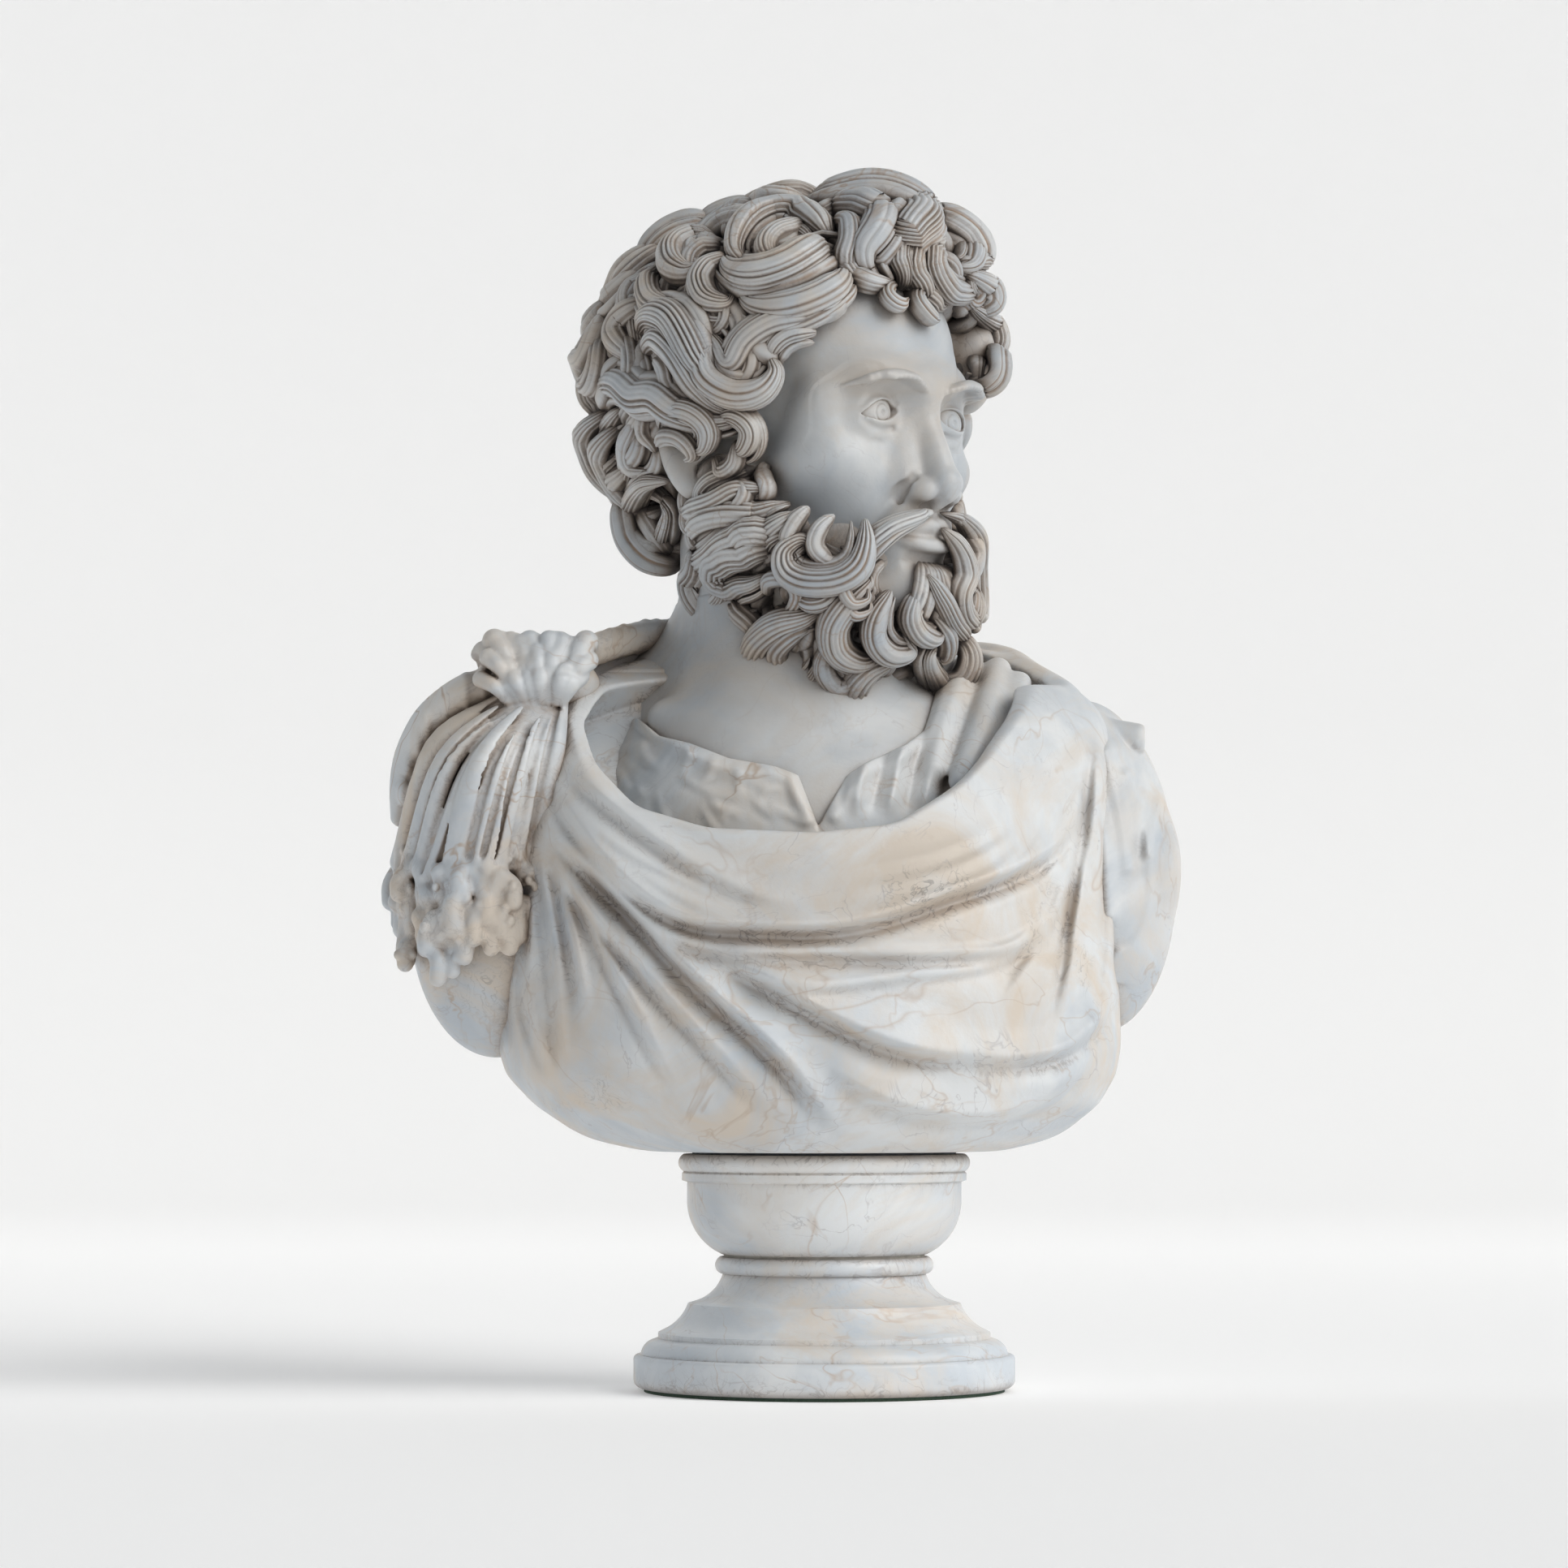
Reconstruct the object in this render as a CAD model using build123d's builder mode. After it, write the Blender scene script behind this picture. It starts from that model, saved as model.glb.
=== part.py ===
"""A draped, bearded marble bust on a turned socle, as the pieces that a carver's studio assembles.

Frame: millimetres, +Z up, origin on the socle's axis at the underside of the felt. The chest faces -Y,
and the head is turned towards +X, its own left.
"""

import os
from math import cos, radians, sin, sqrt

from build123d import *

# --- driving dimensions -------------------------------------------------------------------------
FELT_THICK = 2.0
PLINTH_R, PLINTH_TOP = 109.0, 21.0
SCOTIA_R, RING_R = 58.0, 62.5
FOOT_TOP = 76.5  # top of the lower socle block
BED_THICK = 1.5  # mortar film between the two socle blocks
BOWL_LOW = FOOT_TOP + BED_THICK
BOWL_R, COLLAR_R = 78.5, 83.5
SEAT_Z = 135.0  # top of the collar
SHIM_THICK = 1.5  # lead sheet that the bust sits on
TORSO_Z = SEAT_Z + SHIM_THICK

ROD_R = 6.0  # M12 rod, drawn without its thread
ROD_LOW, ROD_HIGH = 7.0, 226.0
RECESS_R, RECESS_TOP = 24.0, 24.0
WASHER_R, WASHER_THICK = 18.5, 3.0
NUT_FLATS, NUT_HEIGHT = 18.0, 10.0
ANCHOR_R, ANCHOR_TOP = 11.0, 232.0
PIN_R, PIN_LENGTH = 4.0, 30.0
SOCLE_PIN_X = 36.0
SEAT_PIN_Y = 40.0

NECK_X, NECK_Y, NECK_R = -18.0, 8.0, 56.0
TENON_LOW, NECK_BED = 322.0, 3.0  # underside of the tenon, and the mortar round it
NECK_SEAM = 418.0  # top of the mortar, where the neck leaves the clothes
NECKLINE = [(-96, 450), (-5, 330), (74, 450)]  # the V of the tunic, as (x, z)
DOWEL_R, DOWEL_LOW, DOWEL_HIGH = 6.0, 298.0, 352.0

HEAD_X, HEAD_Y = -10.0, 2.0
HEAD_TURN = 48.0  # degrees towards +X
CHIN_Z, EYE_Z, CROWN_Z = 438.0, 553.0, 672.0
EYE_SPACING, EYE_FORWARD, EYEBALL_R = 64.0, 80.0, 12.5
SOCKET_R = 15.0

HOLLOW_LOW, HOLLOW_HIGH, HOLLOW_FRONT = 188.0, 288.0, -38.0
HOLLOWS = [(-24, -114), (24, 88)]  # inner and outer side of each, either side of a post
BACK_Y = 80.0  # the back is sawn flat here

# Torso outline: height, half width, half depth, centre x and centre y of each oval section.
TORSO_SECTIONS = [
    (TORSO_Z, 92, 84, 0, -2),
    (148, 138, 102, -3, -8),
    (170, 166, 116, -7, -14),
    (215, 186, 124, -14, -16),
    (262, 211, 122, -18, -12),
    (306, 222, 114, -23, -6),
    (346, 214, 98, -29, 2),
    (376, 197, 76, -34, 8),
    (400, 160, 59, -34, 14),
    (414, 120, 57, -28, 16),
    (NECK_SEAM, 104, 56, -26, 17),
]

# Skull outline in the head's own plane: height, half width, half depth, how far forward of its axis.
SKULL_SECTIONS = [
    (CHIN_Z, 30, 40, 44),
    (456, 48, 58, 34),
    (500, 64, 82, 13),
    (EYE_Z, 72, 94, 0),
    (600, 76, 98, -6),
    (640, 67, 88, -8),
    (664, 44, 58, -8),
    (CROWN_Z, 18, 24, -8),
]

# Rounded masses of hair and beard: across, ahead, height and radius, in the skull's own plane.
HAIR_MASSES = [(0, -24, 592, 97), (0, 34, 632, 62)]
BEARD_MASSES = [(0, 54, 474, 48), (0, 66, 448, 36), (46, 24, 500, 30), (-46, 24, 500, 30)]

# Curls that stand out of them: height, angle from straight ahead, step between curls, how many, how
# far they are from the head's axis, and their radius.
CURL_ROWS = [
    (518, 128, 27, 5, 92, 25),
    (556, 84, 32, 7, 97, 27),
    (600, 64, 29, 9, 100, 28),
    (640, 40, 40, 8, 84, 28),
    (668, 20, 64, 6, 48, 26),
]
BEARD_ROWS = [(494, -66, 33, 5, 74, 17), (464, -33, 22, 4, 92, 17), (436, -15, 30, 2, 88, 18)]
FORELOCK = [(0, 84, 655, 24), (26, 66, 676, 24), (-24, 62, 674, 22)]

# Neck outline: height, half width, half depth, centre x and centre y.
NECK_SECTIONS = [
    (NECK_SEAM, NECK_R, NECK_R, NECK_X, NECK_Y),
    (450, 62, 59, NECK_X - 2, NECK_Y + 2),
    (490, 64, 60, NECK_X - 6, NECK_Y + 6),
    (520, 60, 60, NECK_X - 6, NECK_Y + 8),
]

# Rolls of cloth across the chest: three (x, z) points on the front of the torso, and the roll's radius.
CHEST_ROLLS = [
    ((-150, 360), (0, 300), (140, 372), 15),
    ((-140, 330), (20, 262), (142, 318), 12),
    ((-120, 290), (30, 222), (148, 262), 12),
    ((-100, 250), (40, 190), (138, 214), 11),
]

KNOT = (-166, -30, 404)
FRINGE_TIPS = [(-228, 300), (-222, 282), (-208, 272), (-190, 266), (-172, 270)]

head_plane = Plane(
    origin=(HEAD_X, HEAD_Y, 0),
    x_dir=(cos(radians(HEAD_TURN)), sin(radians(HEAD_TURN)), 0),
    z_dir=(0, 0, 1),
)
neck_plane = Plane(origin=(NECK_X, NECK_Y, 0), x_dir=(1, 0, 0), z_dir=(0, -1, 0))
neck_axis = Axis((NECK_X, NECK_Y, 0), (0, 0, 1))


def keep(builder, name):
    """Labels a finished piece and writes its STEP file."""
    builder.part.label = name
    export_step(builder.part, f"parts/{name}.step")


def ovals(sections):
    """Level oval faces for a loft, in the row frame."""
    faces = []
    for z, half_width, half_depth, x, y in sections:
        with BuildSketch(Plane.XY.offset(z)) as oval:
            with Locations((x, y)):
                Ellipse(half_width, half_depth)
        faces.append(oval.sketch.face())
    return faces


def head_ovals(sections):
    """Level oval faces for a loft, turned with the head."""
    faces = []
    for z, half_width, half_depth, ahead in sections:
        with BuildSketch(head_plane.offset(z)) as oval:
            with Locations((0, -ahead)):
                Ellipse(half_width, half_depth)
        faces.append(oval.sketch.face())
    return faces


def front_point(x, z):
    """The point on the front of the torso's outline at x and z."""
    below = [s for s in TORSO_SECTIONS if s[0] <= z][-1]
    above = [s for s in TORSO_SECTIONS if s[0] > z][0]
    share = (z - below[0]) / (above[0] - below[0])
    half_width, half_depth, cx, cy = (
        b + share * (a - b) for b, a in zip(below[1:], above[1:])
    )
    across = max(-0.98, min(0.98, (x - cx) / half_width))
    return (x, cy - half_depth * sqrt(1 - across**2), z)


def head_point(angle, reach, z):
    """A point round the head's axis: angle from straight ahead, positive to the head's left."""
    turned = radians(angle)
    return head_plane.from_local_coords(
        (reach * sin(turned), -reach * cos(turned), z)
    )


os.makedirs("parts", exist_ok=True)

# --- felt under the foot ------------------------------------------------------------------------
with BuildPart() as felt_disc:
    with BuildSketch():
        Circle(PLINTH_R - 6)
    extrude(amount=FELT_THICK)
keep(felt_disc, "felt_disc")

# --- lower socle block: plinth, steps, ogee, scotia and ring, turned in one piece ---------------
with BuildPart() as socle_foot:
    with BuildSketch(Plane.XZ):
        with BuildLine():
            Polyline(
                (0, FELT_THICK),
                (PLINTH_R, FELT_THICK),
                (PLINTH_R, PLINTH_TOP),
                (PLINTH_R - 4, PLINTH_TOP),
            )
            ThreePointArc((PLINTH_R - 4, PLINTH_TOP), (PLINTH_R - 6, 26), (98, 29.5))
            Polyline((98, 29.5), (95, 30.5), (95, 33.5), (92, 35))
            ThreePointArc((92, 35), (83.5, 41), (78, 50))
            Polyline((78, 50), (73, 51.5))
            ThreePointArc((73, 51.5), (63, 58), (SCOTIA_R, 67))
            Line((SCOTIA_R, 67), (RING_R - 3, 67))
            ThreePointArc((RING_R - 3, 67), (RING_R, 72), (RING_R - 3, FOOT_TOP))
            Polyline((RING_R - 3, FOOT_TOP), (0, FOOT_TOP), (0, FELT_THICK))
        make_face()
    revolve(axis=Axis.Z)
    for height, round_r in ((FELT_THICK, 5), (PLINTH_TOP, 2.5)):
        circles = socle_foot.edges().filter_by(GeomType.CIRCLE)
        rim = [e for e in circles if abs(e.center().Z - height) < 0.1]
        fillet(ShapeList(rim).sort_by(SortBy.RADIUS)[-1], radius=round_r)
    with BuildSketch(Plane.XY.offset(FELT_THICK)):
        Circle(RECESS_R)
    extrude(amount=RECESS_TOP - FELT_THICK, mode=Mode.SUBTRACT)
    with BuildSketch(Plane.XY.offset(FELT_THICK)):
        Circle(ROD_R)
    extrude(amount=FOOT_TOP, mode=Mode.SUBTRACT)
    with BuildSketch(Plane.XY.offset(FOOT_TOP)):
        with Locations((-SOCLE_PIN_X, 0), (SOCLE_PIN_X, 0)):
            Circle(PIN_R)
    extrude(amount=-PIN_LENGTH / 2, mode=Mode.SUBTRACT)
keep(socle_foot, "socle_foot")

# --- mortar film between the socle blocks, pierced by the rod and the two pins ------------------
with BuildPart() as socle_bed:
    with BuildSketch(Plane.XY.offset(FOOT_TOP)):
        Circle(RING_R - 5)
        Circle(ROD_R, mode=Mode.SUBTRACT)
        with Locations((-SOCLE_PIN_X, 0), (SOCLE_PIN_X, 0)):
            Circle(PIN_R, mode=Mode.SUBTRACT)
    extrude(amount=BED_THICK)
keep(socle_bed, "socle_bed")

# --- upper socle block: bowl, fillet and collar -------------------------------------------------
with BuildPart() as socle_bowl:
    with BuildSketch(Plane.XZ):
        with BuildLine():
            Line((0, BOWL_LOW), (59, BOWL_LOW))
            ThreePointArc((59, BOWL_LOW), (73, 90), (BOWL_R, 107))
            Polyline((BOWL_R, 107), (BOWL_R, 119), (81.5, 120), (81.5, 124), (80.5, 125))
            ThreePointArc((80.5, 125), (COLLAR_R, 130), (80.5, SEAT_Z))
            Polyline((80.5, SEAT_Z), (0, SEAT_Z), (0, BOWL_LOW))
        make_face()
    revolve(axis=Axis.Z)
    with BuildSketch(Plane.XY.offset(BOWL_LOW)):
        Circle(ROD_R)
    extrude(amount=SEAT_Z, mode=Mode.SUBTRACT)
    with BuildSketch(Plane.XY.offset(BOWL_LOW)):
        with Locations((-SOCLE_PIN_X, 0), (SOCLE_PIN_X, 0)):
            Circle(PIN_R)
    extrude(amount=PIN_LENGTH / 2 - BED_THICK, mode=Mode.SUBTRACT)
    with BuildSketch(Plane.XY.offset(SEAT_Z)):
        with Locations((0, SEAT_PIN_Y)):
            Circle(PIN_R)
    extrude(amount=-PIN_LENGTH / 2, mode=Mode.SUBTRACT)
keep(socle_bowl, "socle_bowl")

# --- two pins that stop the socle blocks turning on each other ----------------------------------
with BuildPart() as socle_pins:
    with BuildSketch(Plane.XY.offset(FOOT_TOP - PIN_LENGTH / 2)):
        with Locations((-SOCLE_PIN_X, 0), (SOCLE_PIN_X, 0)):
            Circle(PIN_R)
    extrude(amount=PIN_LENGTH)
keep(socle_pins, "socle_pins")

# --- lead sheet between the bust and the collar -------------------------------------------------
with BuildPart() as seat_shim:
    with BuildSketch(Plane.XY.offset(SEAT_Z)):
        Circle(COLLAR_R - 8)
        Circle(ANCHOR_R, mode=Mode.SUBTRACT)
        with Locations((0, SEAT_PIN_Y)):
            Circle(PIN_R, mode=Mode.SUBTRACT)
    extrude(amount=SHIM_THICK)
keep(seat_shim, "seat_shim")

# --- pin that keeps the bust square on the socle ------------------------------------------------
with BuildPart() as seat_pin:
    with BuildSketch(Plane.XY.offset(SEAT_Z - PIN_LENGTH / 2)):
        with Locations((0, SEAT_PIN_Y)):
            Circle(PIN_R)
    extrude(amount=PIN_LENGTH)
keep(seat_pin, "seat_pin")

# --- tie rod from the recess in the foot up into the bust ---------------------------------------
with BuildPart() as tie_rod:
    with BuildSketch(Plane.XY.offset(ROD_LOW)):
        Circle(ROD_R)
    extrude(amount=ROD_HIGH - ROD_LOW)
    chamfer(tie_rod.edges().filter_by(GeomType.CIRCLE), length=1)
keep(tie_rod, "tie_rod")

# --- resin that sets the rod into the bust ------------------------------------------------------
with BuildPart() as rod_resin:
    with BuildSketch(Plane.XY.offset(SEAT_Z)):
        Circle(ANCHOR_R)
        Circle(ROD_R, mode=Mode.SUBTRACT)
    extrude(amount=ROD_HIGH - SEAT_Z)
    with BuildSketch(Plane.XY.offset(ROD_HIGH)):
        Circle(ANCHOR_R)
    extrude(amount=ANCHOR_TOP - ROD_HIGH)
keep(rod_resin, "rod_resin")

# --- washer and nut in the foot's recess --------------------------------------------------------
with BuildPart() as rod_washer:
    with BuildSketch(Plane.XY.offset(RECESS_TOP)):
        Circle(WASHER_R)
        Circle(ROD_R, mode=Mode.SUBTRACT)
    extrude(amount=-WASHER_THICK)
keep(rod_washer, "rod_washer")

with BuildPart() as rod_nut:
    with BuildSketch(Plane.XY.offset(RECESS_TOP - WASHER_THICK)):
        RegularPolygon(radius=NUT_FLATS / 2, side_count=6, major_radius=False)
        Circle(ROD_R, mode=Mode.SUBTRACT)
    extrude(amount=-NUT_HEIGHT)
keep(rod_nut, "rod_nut")


def tenon_profile(grow):
    """Half the outline of the neck's tenon, or of its socket when grow is more than 0."""
    low, radius = TENON_LOW - grow, NECK_R + grow
    with BuildSketch(neck_plane) as profile:
        with BuildLine():
            Line((0, low), (radius - 20, low))
            ThreePointArc((radius - 20, low), (radius - 6, low + 6), (radius, low + 20))
            Polyline((radius, low + 20), (radius, NECK_SEAM), (0, NECK_SEAM), (0, low))
        make_face()
    return profile.sketch.face()


def neckline_face():
    """The V of the tunic's neckline, on the upright plane through the neck."""
    with BuildSketch(neck_plane) as opening:
        with BuildLine():
            Polyline([(x - NECK_X, z) for x, z in NECKLINE], close=True)
        make_face()
    return opening.sketch.face()


# --- bust: draped torso carved from one block, hollowed from behind -----------------------------
with BuildPart() as torso:
    loft(ovals(TORSO_SECTIONS))
    for start, middle, end, roll_r in CHEST_ROLLS:
        with BuildLine() as roll_line:
            ThreePointArc(front_point(*start), front_point(*middle), front_point(*end))
        with BuildSketch(Plane(roll_line.line @ 0, z_dir=roll_line.line % 0)):
            Circle(roll_r)
        sweep(path=roll_line.line)
        with Locations(roll_line.line @ 0, roll_line.line @ 1):
            Sphere(roll_r + 2)
    # Knot of cloth on the right shoulder, and the fringe that hangs from it.
    with Locations(KNOT):
        Sphere(24)
    for turn in range(0, 360, 60):
        petal = (18 * cos(radians(turn)), 0, 18 * sin(radians(turn)))
        with Locations([tuple(k + p for k, p in zip(KNOT, petal))]):
            Sphere(13 + turn / 120)
    for x, z in FRINGE_TIPS:
        tip = Vector(front_point(x, z))
        top = Vector(KNOT) + Vector(0, -6, -12)
        with BuildSketch(Plane(top, z_dir=tip - top)):
            Circle(8)
        with BuildSketch(Plane(tip, z_dir=tip - top)):
            Circle(14)
        loft()
        with Locations(tip):
            Sphere(14.5)
    # Sawn back, with two hollows that leave a post over the socle.
    split(bisect_by=Plane.XZ.offset(-BACK_Y), keep=Keep.TOP)
    for inner, outer in HOLLOWS:
        middle = ((inner + outer) / 2, (HOLLOW_LOW + HOLLOW_HIGH) / 2)
        wide, tall = abs(outer - inner), HOLLOW_HIGH - HOLLOW_LOW
        with BuildSketch(Plane.XZ.offset(-HOLLOW_FRONT)):
            with Locations(middle):
                RectangleRounded(wide * 0.75, tall * 0.8, wide * 0.22)
        with BuildSketch(Plane.XZ.offset(-BACK_Y - 1)):
            with Locations(middle):
                RectangleRounded(wide, tall, wide * 0.3)
        loft(mode=Mode.SUBTRACT)
    # Neckline of the tunic, open down to the tenon.
    extrude(neckline_face(), amount=180, mode=Mode.SUBTRACT)
    # Socket for the tenon, and the bores for the dowel, the tie rod's resin and the seat pin.
    revolve(tenon_profile(NECK_BED), axis=neck_axis, mode=Mode.SUBTRACT)
    with BuildSketch(Plane.XY.offset(DOWEL_LOW)):
        with Locations((NECK_X, NECK_Y)):
            Circle(DOWEL_R)
    extrude(amount=TENON_LOW - DOWEL_LOW, mode=Mode.SUBTRACT)
    with BuildSketch(Plane.XY.offset(TORSO_Z)):
        Circle(ANCHOR_R)
    extrude(amount=ANCHOR_TOP - TORSO_Z, mode=Mode.SUBTRACT)
    with BuildSketch(Plane.XY.offset(TORSO_Z)):
        with Locations((0, SEAT_PIN_Y)):
            Circle(PIN_R)
    extrude(amount=PIN_LENGTH / 2 - SHIM_THICK, mode=Mode.SUBTRACT)
keep(torso, "torso")

# --- head: neck, face, hair and beard carved from one block, on its tenon -----------------------
with BuildPart() as head:
    revolve(tenon_profile(0), axis=neck_axis)
    loft(ovals(NECK_SECTIONS))
    loft(head_ovals(SKULL_SECTIONS))
    for across, ahead, z, radius in HAIR_MASSES + BEARD_MASSES + FORELOCK:
        with Locations(head_plane.from_local_coords((across, -ahead, z))):
            Sphere(radius)
    # Nose, eye sockets and eyes.
    with BuildSketch(head_plane.offset(EYE_Z + 10)) as bridge:
        with Locations((0, -88)):
            Ellipse(8, 9)
    with BuildSketch(head_plane.offset(EYE_Z - 44)) as nose_base:
        with Locations((0, -98)):
            Ellipse(15, 20)
    loft([bridge.sketch.face(), nose_base.sketch.face()])
    for side in (-1, 1):
        with Locations(head_plane.from_local_coords((side * EYE_SPACING / 2, -96, EYE_Z))):
            Sphere(SOCKET_R, mode=Mode.SUBTRACT)
        eye = (side * EYE_SPACING / 2, -EYE_FORWARD, EYE_Z)
        with Locations(head_plane.from_local_coords(eye)):
            Sphere(EYEBALL_R)
    for z, first, step, count, reach, radius in CURL_ROWS + BEARD_ROWS:
        with Locations([head_point(first + turn * step, reach, z) for turn in range(count)]):
            Sphere(radius)
    with BuildSketch(Plane.XY.offset(TENON_LOW)):
        with Locations((NECK_X, NECK_Y)):
            Circle(DOWEL_R)
    extrude(amount=DOWEL_HIGH - TENON_LOW, mode=Mode.SUBTRACT)
keep(head, "head")

# --- mortar between the tenon and its socket, cut back at the neckline --------------------------
with BuildPart() as neck_bed:
    revolve(tenon_profile(NECK_BED), axis=neck_axis)
    revolve(tenon_profile(0), axis=neck_axis, mode=Mode.SUBTRACT)
    extrude(neckline_face(), amount=180, mode=Mode.SUBTRACT)
    with BuildSketch(Plane.XY.offset(TENON_LOW - NECK_BED)):
        with Locations((NECK_X, NECK_Y)):
            Circle(DOWEL_R)
    extrude(amount=NECK_BED, mode=Mode.SUBTRACT)
keep(neck_bed, "neck_bed")

# --- bronze dowel between the bust and the head -------------------------------------------------
with BuildPart() as neck_dowel:
    with BuildSketch(Plane.XY.offset(DOWEL_LOW)):
        with Locations((NECK_X, NECK_Y)):
            Circle(DOWEL_R)
    extrude(amount=DOWEL_HIGH - DOWEL_LOW)
keep(neck_dowel, "neck_dowel")
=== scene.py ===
"""Looks of a draped, bearded marble bust on a turned socle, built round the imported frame.

Everything is sculpted in millimetres in the row's frame and turned into metres when a mesh is made.
Soft shapes are "clay": a signed distance on a regular grid that blobs and strokes are added to or cut
from. Hair and beard are grooved, tapering locks that follow paths over the head.
"""

import math

import bpy
import numpy as np
import openvdb
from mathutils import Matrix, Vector


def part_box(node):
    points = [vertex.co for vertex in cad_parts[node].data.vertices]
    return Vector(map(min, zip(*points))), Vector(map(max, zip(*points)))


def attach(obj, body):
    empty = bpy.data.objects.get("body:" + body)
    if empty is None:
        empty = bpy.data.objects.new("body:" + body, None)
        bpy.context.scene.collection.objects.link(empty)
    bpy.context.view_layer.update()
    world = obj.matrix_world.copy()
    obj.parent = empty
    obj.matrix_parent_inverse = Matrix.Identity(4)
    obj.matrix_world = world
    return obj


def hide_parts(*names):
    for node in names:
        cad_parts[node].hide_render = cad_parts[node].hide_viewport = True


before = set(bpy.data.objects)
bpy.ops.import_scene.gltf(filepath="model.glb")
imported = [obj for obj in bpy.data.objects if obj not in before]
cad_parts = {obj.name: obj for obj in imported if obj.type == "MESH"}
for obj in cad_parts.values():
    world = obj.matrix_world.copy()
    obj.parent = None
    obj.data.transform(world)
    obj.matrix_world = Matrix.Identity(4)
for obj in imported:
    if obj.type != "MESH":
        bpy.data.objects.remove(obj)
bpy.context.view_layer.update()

MM = 0.001
FAR = 60.0
rng = np.random.default_rng(7)


def millimetres(node):
    """The lowest and highest corner of a CAD node, in millimetres."""
    return [np.array(corner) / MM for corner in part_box(node)]


head_low, head_high = millimetres("head")
BACK_Y = millimetres("torso")[1][1]  # the sawn back

# --- the head's own frame: across to its left, ahead, and up from the line of the eyes ----------
HEAD_TURN = math.radians(48)
HEAD_Y, EYES_BELOW_TOP = 3.0, 147
HEAD = np.array([(head_low[0] + head_high[0]) / 2, HEAD_Y, head_high[2] - EYES_BELOW_TOP])
ACROSS = np.array([math.cos(HEAD_TURN), math.sin(HEAD_TURN), 0])
AHEAD = np.array([math.sin(HEAD_TURN), -math.cos(HEAD_TURN), 0])
UP = np.array([0, 0, 1.0])
HEAD_AXES = np.array([ACROSS, AHEAD, UP])


def head_to_row(points):
    """Points given as (across, ahead, up) from the head's centre, in the row's frame."""
    return np.asarray(points, float) @ HEAD_AXES + HEAD


def spline(points, per_span=8):
    """A smooth curve through the points, of any number of columns."""
    p = np.asarray(points, float)
    p = np.vstack([2 * p[0] - p[1], p, 2 * p[-1] - p[-2]])
    t = np.linspace(0, 1, per_span, endpoint=False)[:, None]
    spans = []
    for a, b, c, d in zip(p[:-3], p[1:-2], p[2:-1], p[3:]):
        spans.append(
            0.5 * (2 * b + (c - a) * t + (2 * a - 5 * b + 4 * c - d) * t**2 + (3 * b - a - 3 * c + d) * t**3)
        )
    return np.vstack(spans + [p[-2:-1]])


def smoothstep(low, high, x):
    t = np.clip((x - low) / (high - low), 0, 1)
    return t * t * (3 - 2 * t)


def smoothed(values, width, ends="edge"):
    """The mean over an odd number of neighbours, weighted towards the middle one."""
    weights = np.hanning(width) / np.hanning(width).sum()
    return np.convolve(np.pad(values, width // 2, ends), weights, "valid")


# --- clay ---------------------------------------------------------------------------------------
def joined(old, new, soft):
    """The smaller of two distances, with the crease between them rounded over a width of soft."""
    least = np.minimum(old, new)
    if soft <= 0:
        return least
    h = np.maximum(soft - np.abs(old - new), 0) / soft
    return least - h * h * soft / 4


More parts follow.
